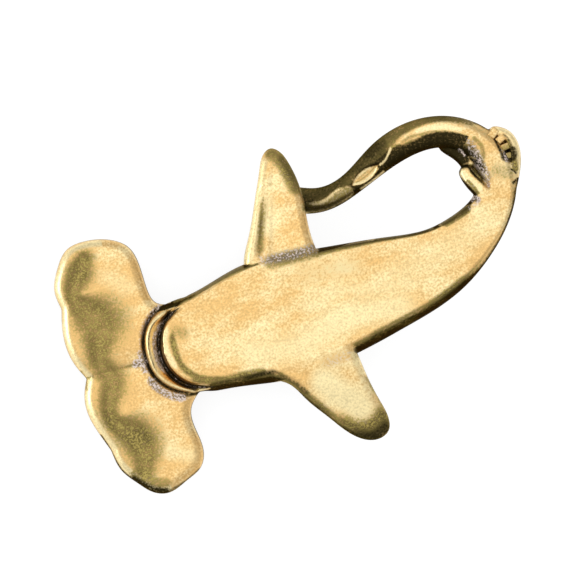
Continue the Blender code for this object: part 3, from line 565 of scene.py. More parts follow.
def section_ring(here, along, size):
    """A ring round the body: flat belly, squarish flanks down to the widest level, and a round back."""
    centre = Vector((here.x, here.y, here.top))
    loop_side = Vector((-along.y, along.x, 0.0))
    width = here.half_width * size
    drop = here.depth * WIDEST_LEVEL
    flank_steps, back_steps, flat_steps = 10, 24, 8
    turns = [0.5 * math.pi * k / flank_steps for k in range(flank_steps)]
    bends = [(math.sin(t) ** FLANK_POWER, math.cos(t) ** FLANK_POWER) for t in turns]
    flanks = []
    for flank, side in ((here.loop_flank * size, 1), (here.outer_flank * size, -1)):
        flanks.append([(side * (width - flank + flank * out), drop * (up - 1)) for out, up in bends])
    turns = [math.pi * k / back_steps for k in range(back_steps + 1)]
    back = [(width * math.cos(t), -drop - (here.depth - drop) * math.sin(t)) for t in turns]
    first, last = flanks[1][0][0], flanks[0][0][0]
    flat = [(first + (last - first) * k / flat_steps, 0.0) for k in range(1, flat_steps)]
    profile = flanks[0] + back + flanks[1][::-1] + flat
    return [centre + loop_side * n + Vector((0, 0, z)) for n, z in profile]


def long_form(sections, start_radius, end_radius, count):
    rows, read = spline(sections, count=count)
    rings = []
    for i, (row, at) in enumerate(zip(rows, read)):
        ahead, behind = rows[min(i + 1, count - 1)], rows[max(i - 1, 0)]
        along = Vector((ahead[0] - behind[0], ahead[1] - behind[1])).normalized()
        size = min(rounding(at, start_radius), rounding(read[-1] - at, end_radius))
        rings.append(section_ring(Section(*row), along, max(size, LEAST_END)))
    return loft(rings)


def plate(outline, sizes, put_back, sag=None):
    """A plate with a rounded rim on the given outline; sag lowers and thins it from place to place."""
    ahead = np.roll(outline, -1, axis=0) - np.roll(outline, 1, axis=0)
    inward = np.stack([-ahead[:, 1], ahead[:, 0]], axis=1)
    inward /= np.maximum(np.linalg.norm(inward, axis=1), 1e-12)[:, None]
    x, y = outline.T
    area = np.sum(x * np.roll(y, -1) - y * np.roll(x, -1))
    inward *= math.copysign(1.0, area)
    outline = outline + inward * put_back
    half = 0.5 * sizes.thickness
    rim = min(sizes.rim, half)
    rim_steps = 10
    turns = [0.5 * math.pi * k / rim_steps for k in range(rim_steps + 1)]
    heights = [(rim * (1 - math.sin(t)), half - rim + rim * math.cos(t)) for t in turns]
    heights += [(inset, -z) for inset, z in heights[::-1]]
    rings = []
    for inset, z in heights:
        ring = outline + inward * inset
        levels = np.full(len(ring), sizes.top - half + z)
        if sag:
            drop, thin_patina_and_shade = sag(ring)
            levels = sizes.top - drop - (half - z) * thin_patina_and_shade
        rings.append([Vector((x, y, level)) for (x, y), level in zip(ring, levels)])
    return loft(rings)


def pectoral_sag(ring):
    """How far a pectoral fin drops, and how much of its thickness is left, towards its tip."""
    along = ramp(np.abs(ring[:, 1] - FIN_MIDDLE), FIN_ROOT, FIN_LENGTH, most=1.2)
    return FIN_TIP_DROP * along**1.5, 1.0 - FIN_TIP_THINNING * along


def dorsal_fin(root, chord, height, thickness):
    """A low fin of the back, swept towards the tail, from under its root to its rounded tip."""
    rings = []
    count, steps = 36, 36
    for k in range(count):
        at = -0.35 + 1.35 * k / (count - 1)
        rise = max(at, 0.0)
        lead = root.x - 0.5 * chord + chord * (0.7 * rise + 0.2 * rise**2)
        trail = root.x + 0.5 * chord + chord * (0.15 * rise**3 - 0.07 * rise)
        size = max(rounding(1.0 - at, 0.25), 0.08)
        half_chord = max(0.5 * (trail - lead), 0.5 * MM) * size
        half = 0.5 * thickness * (1.0 - 0.4 * rise) * max(size, 0.4)
        middle = 0.5 * (lead + trail)
        level = root.z - height * at
        turns = [2 * math.pi * i / steps for i in range(steps)]
        ring = [(middle + half_chord * math.cos(t), root.y + half * math.sin(t), level) for t in turns]
        rings.append([Vector(point) for point in ring])
    return loft(rings)


def object_of(name, mesh):
    made = bpy.data.objects.new(name, mesh)
    bpy.context.scene.collection.objects.link(made)
    return made


def mesh_object(name, shapes):
    whole = bmesh.new()
    for shape in shapes:
        part = bpy.data.meshes.new(name + "_part")
        shape.to_mesh(part)
        shape.free()
        whole.from_mesh(part)
        bpy.data.meshes.remove(part)
    mesh = bpy.data.meshes.new(name)
    whole.to_mesh(mesh)
    whole.free()
    return object_of(name, mesh)


def taken_mesh(made):
    """The object's mesh with its modifiers carried out; the object itself is removed."""
    bpy.context.view_layer.update()
    graph = bpy.context.evaluated_depsgraph_get()
    mesh = bpy.data.meshes.new_from_object(made.evaluated_get(graph))
    bpy.data.objects.remove(made)
    return mesh


def fused_skin(sizes):
    """The body, neck, hammer and fins as one closed skin with rounded joins, in the sculpting frame."""
    back = sizes.put_back
    jaw = BODY[0]._replace(x=BODY[0].x - JAW_RADIUS)
    shapes = [long_form((jaw,) + BODY, JAW_RADIUS, HOOK_TIP_RADIUS, 300)]
    shapes.append(plate(hammer_outline(), HAMMER_PLATE, back))
    shapes.append(plate(closed_curve(NECK_OUTLINE, 0.3 * MM), NECK_PLATE, back))
    for run, pectoral in zip(PECTORAL_OUTLINES, PECTORAL_PLATES):
        shapes.append(plate(spline(run, spacing=0.3 * MM)[0], pectoral, back, pectoral_sag))
    for run in PELVIC_FLOORS:
        shapes.append(plate(closed_curve(run, 0.25 * MM), PELVIC_FLOOR, back))
    shapes += [long_form(sections, 0.8 * MM, 0.7 * MM, 40) for sections in PELVIC_RIDGES]
    trunk, rear = BODY[2], BODY[4]
    root = Vector((trunk.x - FRONT_DORSAL_AHEAD, trunk.y, DORSAL_SUNK - trunk.depth))
    shapes.append(dorsal_fin(root, *FRONT_DORSAL))
    root = Vector((rear.x, rear.y, DORSAL_SUNK - rear.depth))
    shapes.append(dorsal_fin(root, *REAR_DORSAL))

    skin = mesh_object("fused_skin", shapes)
    fuse = skin.modifiers.new("fuse", "REMESH")
    fuse.mode = "VOXEL"
    fuse.voxel_size = sizes.cell
    rounded = skin.modifiers.new("round the joins", "SMOOTH")
    rounded.factor = 0.5
    rounded.iterations = sizes.smoothing
    grown = skin.modifiers.new("put the metal back", "DISPLACE")
    grown.strength = sizes.put_back
    grown.mid_level = 0.0
    return taken_mesh(skin)


def taper(along):
    """1 along most of a line, falling to 0 at both its ends."""
    return np.clip(np.sin(np.pi * np.clip(along, 0.0, 1.0)) * 2.2, 0.0, 1.0)


def hollowed(away, reach):
    """The rounded profile of a hollow: 1 in its middle, 0 from its reach on."""
    return 0.5 + 0.5 * np.cos(np.pi * np.clip(away / reach, 0.0, 1.0))


def carved_line(points, path, width, depth):
    """Depth below the face of a rounded line of a given width, tapered at its ends."""
    away, along = near_path(points, spline(path, spacing=0.25 * MM)[0])
    return depth * hollowed(away, 0.5 * width) * taper(along)


def hammer_depth(points, sizes):
    """The valley and the middle crease pressed into the hammer's face, which leave its edge raised."""
    away, _ = near_path(points, hammer_outline())
    inside = np.clip(away / (1.0 * MM) - 0.4, 0.0, 1.0)
    inside *= inside * (3.0 - 2.0 * inside)
    away, reach, depth = valley_at(points)
    crease, _ = near_path(points, spline(CREASE_PATH, spacing=0.5 * MM)[0])
    narrow, wide = (np.exp(-((crease / spread) ** 2)) for spread in CREASE_SPREADS)
    return depth * hollowed(away, reach) * inside + sizes.crease_depth * (0.4 * narrow + 0.8 * wide)


def valley_at(points):
    """How far each point lies from the floor of the hammer's valley, and its reach and depth there."""
    pressed, _ = spline(HAMMER_VALLEY, spacing=0.6 * MM)
    away, along = near_path(points, pressed[:, :2])
    at = along * (len(pressed) - 1)
    steps = np.arange(len(pressed))
    return away, np.interp(at, steps, pressed[:, 2]), np.interp(at, steps, pressed[:, 3])


def leaf_shape(points):
    """How each point lies to the filed leaf: below 1 inside it, 1 on its outline."""
    off = points - LEAF_CENTRE
    along, across = off @ LEAF_ALONG, off @ LEAF_ACROSS
    return 2 * np.abs(across) / LEAF_WIDTH + (2 * along / LEAF_LENGTH) ** 2


def store_patina_and_painted_light(mesh, table):
    """Keeps how strong each layer of the patina and of the painted light and shade is at each vertex as the
    mesh's colour attribute.
    """
    layer = mesh.attributes.new("patina", "FLOAT_COLOR", "POINT")
    layer.data.foreach_set("color", table.clip(0.0, 1.0).astype(np.float32).reshape(-1))


def vertex_arrays(mesh):
    """The vertices' places and normals as two tables of three columns."""
    tables = []
    for name in ("co", "normal"):
        values = np.empty(len(mesh.vertices) * 3)
        mesh.vertices.foreach_get(name, values)
        tables.append(values.reshape(-1, 3))
    return tables


def carve(mesh, sizes):
    """Carves the face that looks up: valley, crease, mouth, trough and leaf, then files the belly flat."""
    corners, normals = vertex_arrays(mesh)
    upward = np.clip(normals[:, 2] / 0.5 - 0.4, 0.0, 1.0)
    level = corners[:, 2]

    head = (corners[:, 0] < -11.0 * MM) & (upward > 0)
    spots = corners[head, :2]
    raised = carved_line(spots, LIP_PATH, sizes.lip_width, sizes.lip_height)
    cut = carved_line(spots, SLOT_PATH, sizes.slot_width, sizes.slot_depth)
    cut += carved_line(spots, GROOVE_PATH, sizes.groove_width, sizes.groove_depth)
    cut += carved_line(spots, JAW_BAND_PATH, JAW_BAND_WIDTH, JAW_BAND_DEPTH)
    on_hammer = ramp(spots[:, 0], -20.9 * MM, -0.8 * MM)
    on_hammer = np.maximum(on_hammer, ramp(np.abs(spots[:, 1] - HAMMER_MIDDLE), 6.4 * MM, 0.8 * MM))
    level[head] += upward[head] * (raised - cut - hammer_depth(spots, sizes) * on_hammer)

    tail = (corners[:, 0] > 25.0 * MM) & (corners[:, 1] > 8.0 * MM) & (upward > 0)
    groove = carved_line(corners[tail, :2], PELVIC_GROOVE_PATH, PELVIC_GROOVE_WIDTH, PELVIC_GROOVE_DEPTH)
    level[tail] -= upward[tail] * groove

    fin = (corners[:, 1] > 7.0 * MM) & (np.abs(corners[:, 0]) < 6 * MM) & (upward > 0)
    trough = carved_line(corners[fin, :2], TROUGH_PATH, TROUGH_WIDTH, sizes.trough_depth)
    level[fin] -= upward[fin] * trough

    outside = leaf_shape(corners[:, :2]) - 1.0
    along = (corners[:, :2] - LEAF_CENTRE) @ LEAF_ALONG
    leaf = (outside < 2.0) & (upward > 0)
    filed = LEAF_LEVEL + LEAF_SLOPE * along + LEAF_WIDTH * np.maximum(outside, 0.0)
    level[leaf] = np.minimum(level[leaf], filed[leaf])

    corners[:, 2] = np.minimum(level, 0.0)
    mesh.vertices.foreach_set("co", corners.reshape(-1))
    mesh.update()


def lighter(mesh, facets):
    """The same skin with larger facets on the back, where it is gently curved and its patina and painted
    shade even.
    """
    mesh.calc_loop_triangles()
    whole = len(mesh.loop_triangles)
    _, normals = vertex_arrays(mesh)
    dense = object_of("dense_skin", mesh)
    back = dense.vertex_groups.new(name="back")
    back.add(np.flatnonzero(normals[:, 2] < -0.1).tolist(), 1.0, "REPLACE")
    softened = dense.modifiers.new("soften the cuts", "SMOOTH")
    softened.factor = 0.5
    softened.iterations = 1
    fewer = dense.modifiers.new("fewer facets", "DECIMATE")
    fewer.ratio = min(1.0, facets / whole)
    fewer.use_collapse_triangulate = True
    fewer.vertex_group = back.name
    return taken_mesh(dense)


def brushed(spots, path, reach, fade):
    """How fully a stroke along a path covers each spot: 1 on it, falling to 0 beside it."""
    line, _ = spline(path, spacing=0.25 * MM)
    low, high = line.min(axis=0) - reach - fade, line.max(axis=0) + reach + fade
    close = np.all((spots >= low) & (spots <= high), axis=1)
    covered = np.zeros(len(spots))
    away, along = near_path(spots[close], line)
    narrowed = taper(along) if len(path) > 4 else 1.0
    covered[close] = np.clip(((reach + fade) * narrowed - away) / fade, 0.0, 1.0)
    return covered


def beside_body(spots):
    """How far along the body each spot is, on which side of it, and how far out past the belly's edge."""
    rows, _ = spline(BODY, count=200)
    away, along = near_path(spots, rows[:, :2])
    steps = np.arange(len(rows))
    ahead = np.gradient(rows[:, :2], axis=0)
    here = np.stack([np.interp(along * steps[-1], steps, rows[:, k]) for k in range(5)], axis=1)
    toward = np.stack([np.interp(along * steps[-1], steps, ahead[:, k]) for k in range(2)], axis=1)
    off = spots - here[:, :2]
    loop_side = toward[:, 0] * off[:, 1] - toward[:, 1] * off[:, 0] > 0
    flank = np.where(loop_side, here[:, 3], here[:, 4])
    return along, loop_side, (away - here[:, 2] + flank) / flank


def patina(mesh):
    """Stores on the skin where dark patina, thin olive patina, polish residue and rubbing lie, with painted
    shade and painted highlights.
    """
    corners, normals = vertex_arrays(mesh)
    spots, face_up = corners[:, :2], normals[:, 2]
    layers = {name: np.zeros(len(corners)) for name in LAYERS}
    seen = ramp(face_up, -0.05, 0.25)

    def scrub(covered):
        for name in ("soot_and_shade", "olive", "residue"):
            layers[name] *= 1.0 - covered

    def lay(strokes):
        for one in strokes:
            covered = one.strength * brushed(spots, one.path, one.reach, one.fade) * seen
            if one.layer in ("bare_and_highlight", "clean"):
                scrub(covered)
            if one.layer in layers:
                layers[one.layer] = np.maximum(layers[one.layer], covered)

    # The flanks, in painted shade: olive next to the belly, dark beyond it, less of it at the tail, and dark
    # wherever the skin turns down
    along, loop_side, out = beside_body(spots)
    tail_end = ramp(spots[:, 0], 22.0 * MM, 4.0 * MM) * (out > 0) * ~loop_side
    layers["olive"] = ramp(out, 0.02, 0.3) * ramp(face_up, 0.98, -0.12) * (1.0 - 0.7 * tail_end)
    flank_shade = ramp(out, 0.22 + 0.5 * tail_end, 0.4) * ramp(face_up, 0.95, -0.25)
    layers["soot_and_shade"] = np.maximum(flank_shade, ramp(face_up, 0.55, -0.35))

    # The fins and the outer pelvic fin: painted shade, dark only where they turn down
    fins = (np.abs(spots[:, 0]) < 8.0 * MM) & (np.abs(spots[:, 1] - 1.0 * MM) > 7.9 * MM)
    fins &= (spots[:, 0] < FIN_BACK_EDGE) | (spots[:, 1] < 0)
    fins |= (spots[:, 0] > 30.6 * MM) & (spots[:, 1] > 10.0 * MM)
    layers["olive"][fins] = ramp(face_up[fins], 0.3, -0.3)
    layers["soot_and_shade"][fins] = ramp(face_up[fins], 0.15, -0.3, most=0.9)

    # The hammer: olive in its valley, as thin patina and painted shade of its slopes, painted shade where it
    # turns down, and a front edge left pale as rubbing and painted highlight
    off_middle = np.abs(spots[:, 1] - HAMMER_MIDDLE)
    head = (spots[:, 0] < -20.5 * MM) | ((spots[:, 0] < -15.5 * MM) & (off_middle > 6.2 * MM))
    up = face_up[head]
    away, reach, _ = valley_at(spots[head])
    edge, _ = near_path(spots[head], hammer_outline())
    rubbed_and_lit = ramp(np.abs(edge - 0.55 * MM), 0.56 * MM, -0.4 * MM)
    rubbed_and_lit *= (spots[head, 0] < -22.0 * MM) & (up > 0.2)
    valley_olive = np.clip(1.3 - 0.95 * away / (reach + 0.2 * MM), 0.0, 0.92) * (up > 0.3)
    layers["soot_and_shade"][head] = ramp(up, 0.2, -0.3, most=0.85)
    layers["olive"][head] = np.maximum(valley_olive * (1.0 - rubbed_and_lit), ramp(up, 0.35, -0.3, most=0.8))
    layers["bare_and_highlight"][head] = rubbed_and_lit

    # The mouth, whose lines are brushed on one by one, then the patina, painted highlights and painted shade
    # of the hammer, fins and belly
    mouth = (np.abs(spots[:, 0] + 17.2 * MM) < 3.6 * MM) & (face_up > -0.2)
    mouth &= (spots[:, 1] > -5.4 * MM) & (spots[:, 1] < 6.1 * MM)
    layers["soot_and_shade"][mouth] = layers["olive"][mouth] = 0.0
    lay(MOUTH_STROKES + HAMMER_STROKES + FIN_STROKES + BELLY_STROKES)

    # The strand of the hook, in painted light and shade: a bright facet, olive above it and dark below, and
    # dark all round past its end, where the strand sinks away from the belly
    strand = (along > STRAND_START) & (face_up > -0.3)
    strand &= (spots[:, 0] > FIN_BACK_EDGE) & (spots[:, 0] < 30.4 * MM)
    on_strand = spots[strand]
    facet = brushed(on_strand, STRAND_FACET_PATH, 0.42 * MM, 0.4 * MM)
    past = ramp(on_strand[:, 0], 17.9 * MM, -0.8 * MM)
    far = ramp(on_strand[:, 0], 25.0 * MM, 4.0 * MM)
    outer = np.clip(0.1 + 0.6 * out[strand], 0.0, 0.8) * (1.0 - 0.35 * far)
    dark = np.where(loop_side[strand], 0.95, outer)
    layers["soot_and_shade"][strand] = np.maximum(dark * (1.0 - facet), 0.68 * past)
    layers["olive"][strand] = (1.0 - facet) * (1.0 - 0.5 * far)
    lay(HOOK_STROKES + TAIL_STROKES)
    scrub(ramp(leaf_shape(spots), 1.05, -0.2) * (face_up > 0.2))
    lay(LEAF_STROKES)

    # Painted shade: what turns away from the belly's side is dark all over
    layers["soot_and_shade"] = np.maximum(layers["soot_and_shade"], ramp(face_up, 0.18, -0.25, most=0.9))
    store_patina_and_painted_light(mesh, np.stack([layers[name] for name in LAYERS], axis=1))


def placing():
    """What takes the sculpting frame to where the record says the belly lies."""
    normal = Vector(BELLY_MOUNT["axis"]).normalized()
    turn = Vector((0, 0, 1)).rotation_difference(normal).to_matrix().to_4x4()
    move = Vector(BELLY_MOUNT["pos_m"]) - turn.to_3x3() @ BELLY_POINT
    return Matrix.Translation(move) @ turn


def node(tree, kind, inputs=None, **settings):
    """A new node with its settings made and each input given a plain value or linked to a socket."""
    made = tree.nodes.new(kind)
    for name, value in settings.items():
        setattr(made, name, value)
    for name, value in (inputs or {}).items():
        if isinstance(value, bpy.types.NodeSocket):
            tree.links.new(value, made.inputs[name])
        else:
            made.inputs[name].default_value = value
    return made


def group_socket(group, name, way, kind, default=None):
    made = group.interface.new_socket(name=name, in_out=way, socket_type="NodeSocket" + kind)
    if default is not None:
        made.default_value = default


def ranged(tree, source, low, high, to_low=0.0, to_high=1.0):
    """A value brought from one range to another, held at its ends."""
    ends = {"From Min": low, "From Max": high, "To Min": to_low, "To Max": to_high}
    return node(tree, "ShaderNodeMapRange", {"Value": source, **ends}).outputs["Result"]


def worked(tree, operation, first, second):
    return node(tree, "ShaderNodeMath", {0: first, 1: second}, operation=operation).outputs[0]


def mixed(tree, factor, first, second, blend="MIX"):
    """A mix of two colours, each a socket or a plain colour."""
    sockets = {"Factor": factor, MIX_A: first, MIX_B: second}
    return node(tree, "ShaderNodeMix", sockets, data_type="RGBA", blend_type=blend).outputs[MIX_RESULT]


def cast_grain_group():
    """Cast grain: fine mottle, coarser clouds drawn out along the body, and a height."""
    found = bpy.data.node_groups.get("Cast Grain")
    if found:
        return found
    group = bpy.data.node_groups.new("Cast Grain", "ShaderNodeTree")
    group_socket(group, "Fine Size", "INPUT", "Float", 3600.0)
    group_socket(group, "Cloud Size", "INPUT", "Float", 280.0)
    for name in ("Mottle", "Clouds", "Height"):
        group_socket(group, name, "OUTPUT", "Float")
    entry = node(group, "NodeGroupInput").outputs
    place = node(group, "ShaderNodeTexCoord").outputs["Object"]
    drawn_out = node(group, "ShaderNodeVectorMath", {0: place, 1: (0.5, 1.0, 1.0)}, operation="MULTIPLY")

    def noise(where, size, detail, roughness=0.5):
        values = {"Vector": where, "Scale": size, "Detail": detail, "Roughness": roughness}
        return node(group, "ShaderNodeTexNoise", values).outputs["Fac"]

    fine = noise(place, entry["Fine Size"], 3.0)
    pits = noise(place, worked(group, "MULTIPLY", entry["Fine Size"], 0.45), 2.0)
    clouds = noise(drawn_out.outputs[0], entry["Cloud Size"], 5.0, 0.62)
    height = worked(group, "ADD", worked(group, "MULTIPLY", pits, 0.6), fine)
    node(group, "NodeGroupOutput", {"Mottle": fine, "Clouds": clouds, "Height": height})
    return group


def aged_brass():
    """Brass with dark patina, olive patina, residue and rubbed places, and with painted shade and painted
    highlights, from the skin's patina table.
    """
    finish = bpy.context.scene.brass_finish
    brass = bpy.data.materials.get("aged_brass_finish") or bpy.data.materials.new("aged_brass_finish")
    brass.use_nodes = True
    tree = brass.node_tree
    tree.nodes.clear()
    grain = node(tree, "ShaderNodeGroup", node_tree=cast_grain_group()).outputs
    mottle, clouds = grain["Mottle"], grain["Clouds"]
    table = node(tree, "ShaderNodeAttribute", attribute_name="patina").outputs
    # The layers: dark and olive patina that also carry painted shade, and dried residue
    thick_patina_and_shade, thin_patina_and_shade, dried = node(tree, "ShaderNodeSeparateColor", {0: table["Color"]}).outputs

    def broken(mask, low, high, speckle_reach):
        """A mask whose edge the grain breaks up."""
        speckle = ranged(tree, mottle, 0.35, 0.65, -speckle_reach, speckle_reach)
        drift = ranged(tree, clouds, 0.3, 0.7, -0.2, 0.2)
        edge = worked(tree, "ADD", worked(tree, "ADD", mask, speckle), drift)
        return worked(tree, "MULTIPLY", ranged(tree, edge, low, high), ranged(tree, mask, 0.02, 0.3))

    # The brass: paler and redder clouds, redder at the head, with a fine speckle
    place = node(tree, "ShaderNodeTexCoord").outputs["Object"]
    from_middle = node(tree, "ShaderNodeSeparateXYZ", {0: place}).outputs["X"]
    redder = ranged(tree, from_middle, -14.0 * MM, -4.0 * MM, -0.06, 0.0)
    tone = worked(tree, "ADD", clouds, ranged(tree, mottle, 0.3, 0.7, -0.1, 0.1))
    tone = worked(tree, "ADD", tone, redder)
    metal = mixed(tree, ranged(tree, tone, 0.4, 0.68), finish.brass, finish.pale)
    # Bare places: pale brass for rubbing and for painted highlights
    metal = mixed(tree, table["Alpha"], metal, finish.pale)
    metal = mixed(tree, 1.0, metal, ranged(tree, mottle, 0.3, 0.6, 0.8, 1.07), "MULTIPLY")

    # The patina and the painted shade on it, and the dried polish in dark crumbs
    mossy = mixed(tree, 1.0, ranged(tree, mottle, 0.4, 0.6, 0.35, 1.6), finish.olive, "MULTIPLY")
    metal = mixed(tree, broken(thin_patina_and_shade, 0.15, 0.85, 0.4), metal, mossy)
    metal = mixed(tree, broken(thick_patina_and_shade, 0.1, 0.9, 0.2), metal, finish.soot_and_shade)
    crumbs = mixed(tree, ranged(tree, mottle, 0.42, 0.56), finish.soot_and_shade, finish.residue)
    metal = mixed(tree, broken(dried, 0.15, 0.85, 0.4), metal, crumbs)

    dull = worked(tree, "MAXIMUM", thick_patina_and_shade, worked(tree, "MULTIPLY", thin_patina_and_shade, 0.6))
    rough = ranged(tree, thick_patina_and_shade, 0.0, 1.0, finish.roughness, finish.roughness + 0.2)
    height = {"Strength": finish.grain, "Distance": GRAIN_HEIGHT, "Height": grain["Height"]}
    looks = {
        "Base Color": metal,
        "Specular Tint": mixed(tree, dull, WHITE, finish.glint),
        "Roughness": worked(tree, "ADD", rough, worked(tree, "MULTIPLY", dried, 0.35)),
        "Metallic": ranged(tree, dried, 0.2, 0.8, 1.0, 0.25),
        "Normal": node(tree, "ShaderNodeBump", height).outputs["Normal"],
    }
    surface = node(tree, "ShaderNodeBsdfPrincipled", looks)
    node(tree, "ShaderNodeOutputMaterial", {"Surface": surface.outputs["BSDF"]})
    return brass


class CASTING_OT_skin(bpy.types.Operator):
    """Fuse, carve and age the shark's brass skin, with its painted light and shade"""

    bl_idname = "brass_shark.skin"
    bl_label = "Build Casting Skin"

    def execute(self, context):
        sizes = context.scene.casting_sizes
        mesh = fused_skin(sizes)
        carve(mesh, sizes)
        mesh = lighter(mesh, sizes.facets)
        patina(mesh)
        mesh.transform(placing())
        mesh.shade_smooth()
        mesh.materials.clear()
        mesh.materials.append(aged_brass())
        mesh.name = "shark_skin"
        skin = object_of("shark_skin", mesh)
        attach(skin, "root")
        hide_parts("shark_casting")
        return {"FINISHED"}


def knob_row_tree():
    """Rounded blocks strung square to a path, smaller towards its end."""
    tree = bpy.data.node_groups.new("Knob Row", "GeometryNodeTree")
    group_socket(tree, "Path", "INPUT", "Geometry")
    group_socket(tree, "Knob Count", "INPUT", "Int", 4)
    group_socket(tree, "Knob Size", "INPUT", "Float", 1.4 * MM)
    group_socket(tree, "Knob Squareness", "INPUT", "Float", 0.45)
    group_socket(tree, "Finish", "INPUT", "Material")
    group_socket(tree, "Knobs", "OUTPUT", "Geometry")
    entry = node(tree, "NodeGroupInput").outputs
    curve = node(tree, "GeometryNodeMeshToCurve", {0: entry["Path"]}).outputs[0]
    spaced = node(tree, "GeometryNodeResampleCurve", {"Curve": curve, "Count": entry["Knob Count"]})
    block = node(tree, "GeometryNodeMeshCube", {"Size": (0.72, 1.0, 1.0)}).outputs["Mesh"]
    rounding_off = {"Mesh": block, "Level": 3, "Edge Crease": entry["Knob Squareness"]}
    knob = node(tree, "GeometryNodeSubdivisionSurface", rounding_off)
    along = node(tree, "GeometryNodeSplineParameter").outputs["Factor"]
    size = worked(tree, "MULTIPLY", ranged(tree, along, 0.0, 1.0, 1.0, 0.8), entry["Knob Size"])
    tangent = node(tree, "GeometryNodeInputTangent").outputs[0]
    turned = node(tree, "FunctionNodeAlignRotationToVector", {"Vector": tangent}, axis="X", pivot_axis="Z")
    strung = {"Points": spaced.outputs["Curve"], "Instance": knob.outputs["Mesh"]}
    strung.update({"Rotation": turned.outputs["Rotation"], "Scale": size})
    row = node(tree, "GeometryNodeInstanceOnPoints", strung)
    real = node(tree, "GeometryNodeRealizeInstances", {0: row.outputs[0]})
    smooth = node(tree, "GeometryNodeSetShadeSmooth", {0: real.outputs[0]})
    coated = node(tree, "GeometryNodeSetMaterial", {0: smooth.outputs[0], "Material": entry["Finish"]})
    node(tree, "NodeGroupOutput", {0: coated.outputs[0]})
    return tree


class CASTING_OT_knobs(bpy.types.Operator):
    """String the small knobs in the hollow of the outer pelvic fin"""

    bl_idname = "brass_shark.knobs"
    bl_label = "Build Knob Row"

    def execute(self, context):
        sizes = context.scene.casting_sizes
        path, _ = spline(KNOB_PATH, count=24)
        wire = bpy.data.meshes.new("knob_path")
        steps = [(i, i + 1) for i in range(len(path) - 1)]
        wire.from_pydata([(x, y, KNOB_LEVEL) for x, y in path], steps, [])
        row = object_of("knob_path", wire)
        tree = knob_row_tree()
        strung = row.modifiers.new("knobs", "NODES")
        strung.node_group = tree
        values = {"Knob Size": sizes.knob_size, "Finish": aged_brass()}
        for item in tree.interface.items_tree:
            if item.in_out == "INPUT" and item.name in values:
                strung[item.identifier] = values[item.name]
        mesh = taken_mesh(row)
        corners, normals = vertex_arrays(mesh)
        table = np.zeros((len(corners), 4), np.float32)
        # Painted shade: dark where the knobs turn down; olive growing towards the row's end
        table[:, LAYERS.index("soot_and_shade")] = ramp(normals[:, 2], 0.4, -0.5)
        table[:, LAYERS.index("olive")] = ramp(corners[:, 1], 15.4 * MM, -1.6 * MM, most=0.75)
        store_patina_and_painted_light(mesh, table)
        mesh.transform(placing())
        mesh.name = "pelvic_knobs"
        knobs = object_of("pelvic_knobs", mesh)
        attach(knobs, "root")
        return {"FINISHED"}


def pale_floor_material():
    """A pale floor that takes the casting's shadow and shows white to the camera and in reflections."""
    made = bpy.data.materials.new("pale_floor")
    made.use_nodes = True
    tree = made.node_tree
    tree.nodes.clear()
    ways = node(tree, "ShaderNodeLightPath").outputs
    seen = worked(tree, "MAXIMUM", ways["Is Camera Ray"], ways["Is Glossy Ray"])
    seen = worked(tree, "MAXIMUM", seen, ways["Is Transmission Ray"])
    matt = node(tree, "ShaderNodeBsdfDiffuse", {"Color": FLOOR_GREY})
    strength = worked(tree, "MULTIPLY", seen, FLOOR_GLOW)
    glow = node(tree, "ShaderNodeEmission", {"Color": WHITE, "Strength": strength})
    both = node(tree, "ShaderNodeAddShader", {0: matt.outputs[0], 1: glow.outputs[0]})
    node(tree, "ShaderNodeOutputMaterial", {"Surface": both.outputs[0]})
    return made


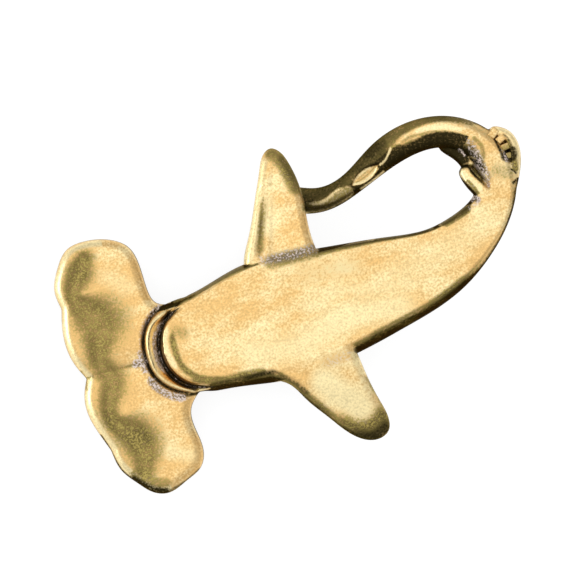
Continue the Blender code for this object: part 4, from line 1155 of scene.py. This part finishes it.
class CASTING_OT_studio(bpy.types.Operator):
    """Lay the casting on a pale floor under soft light, with the camera square to its belly"""

    bl_idname = "brass_shark.studio"
    bl_label = "Build Studio"

    def execute(self, context):
        settings = context.scene.studio_settings
        scene = context.scene
        ground = bmesh.new()
        bmesh.ops.create_circle(ground, cap_ends=True, segments=96, radius=3.0)
        mesh = bpy.data.meshes.new("floor")
        ground.to_mesh(mesh)
        ground.free()
        mesh.materials.append(pale_floor_material())
        floor = object_of("floor", mesh)

        placed = placing()
        turn = placed.to_3x3()
        pixel = settings.seen_width / FRAME_PIXELS
        across, down = (0.5 * FRAME_PIXELS - at for at in START_PIXEL)
        roll = Matrix.Rotation(-settings.roll, 4, "Z")
        aim = roll @ Vector((across, -down, 0.0)) * pixel
        lens = bpy.data.cameras.new("camera")
        lens.sensor_width = SENSOR_WIDTH
        lens.lens = SENSOR_WIDTH * settings.distance / settings.seen_width
        lens.clip_start = 0.01
        camera = object_of("camera", lens)
        back_off = Matrix.Translation((0, 0, settings.distance))
        camera.matrix_world = placed @ Matrix.Translation(aim) @ roll @ back_off
        scene.camera = camera

        for name, size, place in LAMPS:
            lamp = bpy.data.lights.new(name, "AREA")
            lamp.shape = "DISK"
            lamp.size = size
            lamp.energy = getattr(settings, name)
            light = object_of(name, lamp)
            place = turn @ Vector(place)
            toward = (-place).to_track_quat("-Z", "Y").to_matrix().to_4x4()
            light.matrix_world = Matrix.Translation(place) @ toward

        scene.world = bpy.data.worlds.new("studio")
        scene.world.use_nodes = True
        tree = scene.world.node_tree
        tree.nodes.clear()
        place = node(tree, "ShaderNodeTexCoord").outputs["Generated"]
        height = node(tree, "ShaderNodeSeparateXYZ", {0: place}).outputs["Z"]
        strength = ranged(tree, height, 0.0, 1.0, HORIZON_SHARE * settings.sky, settings.sky)
        sky = node(tree, "ShaderNodeBackground", {"Color": WHITE, "Strength": strength})
        node(tree, "ShaderNodeOutputWorld", {"Surface": sky.outputs[0]})
        scene.view_settings.view_transform = "Standard"
        return {"FINISHED"}


class CASTING_PT_panel(bpy.types.Panel):
    """Buttons and sizes of the brass shark"""

    bl_idname = "CASTING_PT_panel"
    bl_label = "Brass Shark"
    bl_space_type = "VIEW_3D"
    bl_region_type = "UI"
    bl_category = "Brass Shark"

    def draw(self, context):
        column = self.layout.column()
        for operator in (CASTING_OT_skin, CASTING_OT_knobs, CASTING_OT_studio):
            column.operator(operator.bl_idname)
        for group in ("casting_sizes", "brass_finish", "studio_settings"):
            settings = getattr(context.scene, group)
            box = self.layout.box()
            for name in settings.bl_rna.properties.keys():
                if name not in ("rna_type", "name"):
                    box.prop(settings, name)


CLASSES = (
    CastingSizes,
    BrassFinish,
    StudioSettings,
    CASTING_OT_skin,
    CASTING_OT_knobs,
    CASTING_OT_studio,
    CASTING_PT_panel,
)


def register():
    for entry in CLASSES:
        bpy.utils.register_class(entry)
    bpy.types.Scene.casting_sizes = bpy.props.PointerProperty(type=CastingSizes)
    bpy.types.Scene.brass_finish = bpy.props.PointerProperty(type=BrassFinish)
    bpy.types.Scene.studio_settings = bpy.props.PointerProperty(type=StudioSettings)


def unregister():
    del bpy.types.Scene.studio_settings
    del bpy.types.Scene.brass_finish
    del bpy.types.Scene.casting_sizes
    for entry in reversed(CLASSES):
        bpy.utils.unregister_class(entry)


def main():
    register()
    bpy.ops.brass_shark.skin()
    bpy.ops.brass_shark.knobs()
    bpy.ops.brass_shark.studio()
    bpy.context.view_layer.update()


if __name__ == "__main__":
    main()
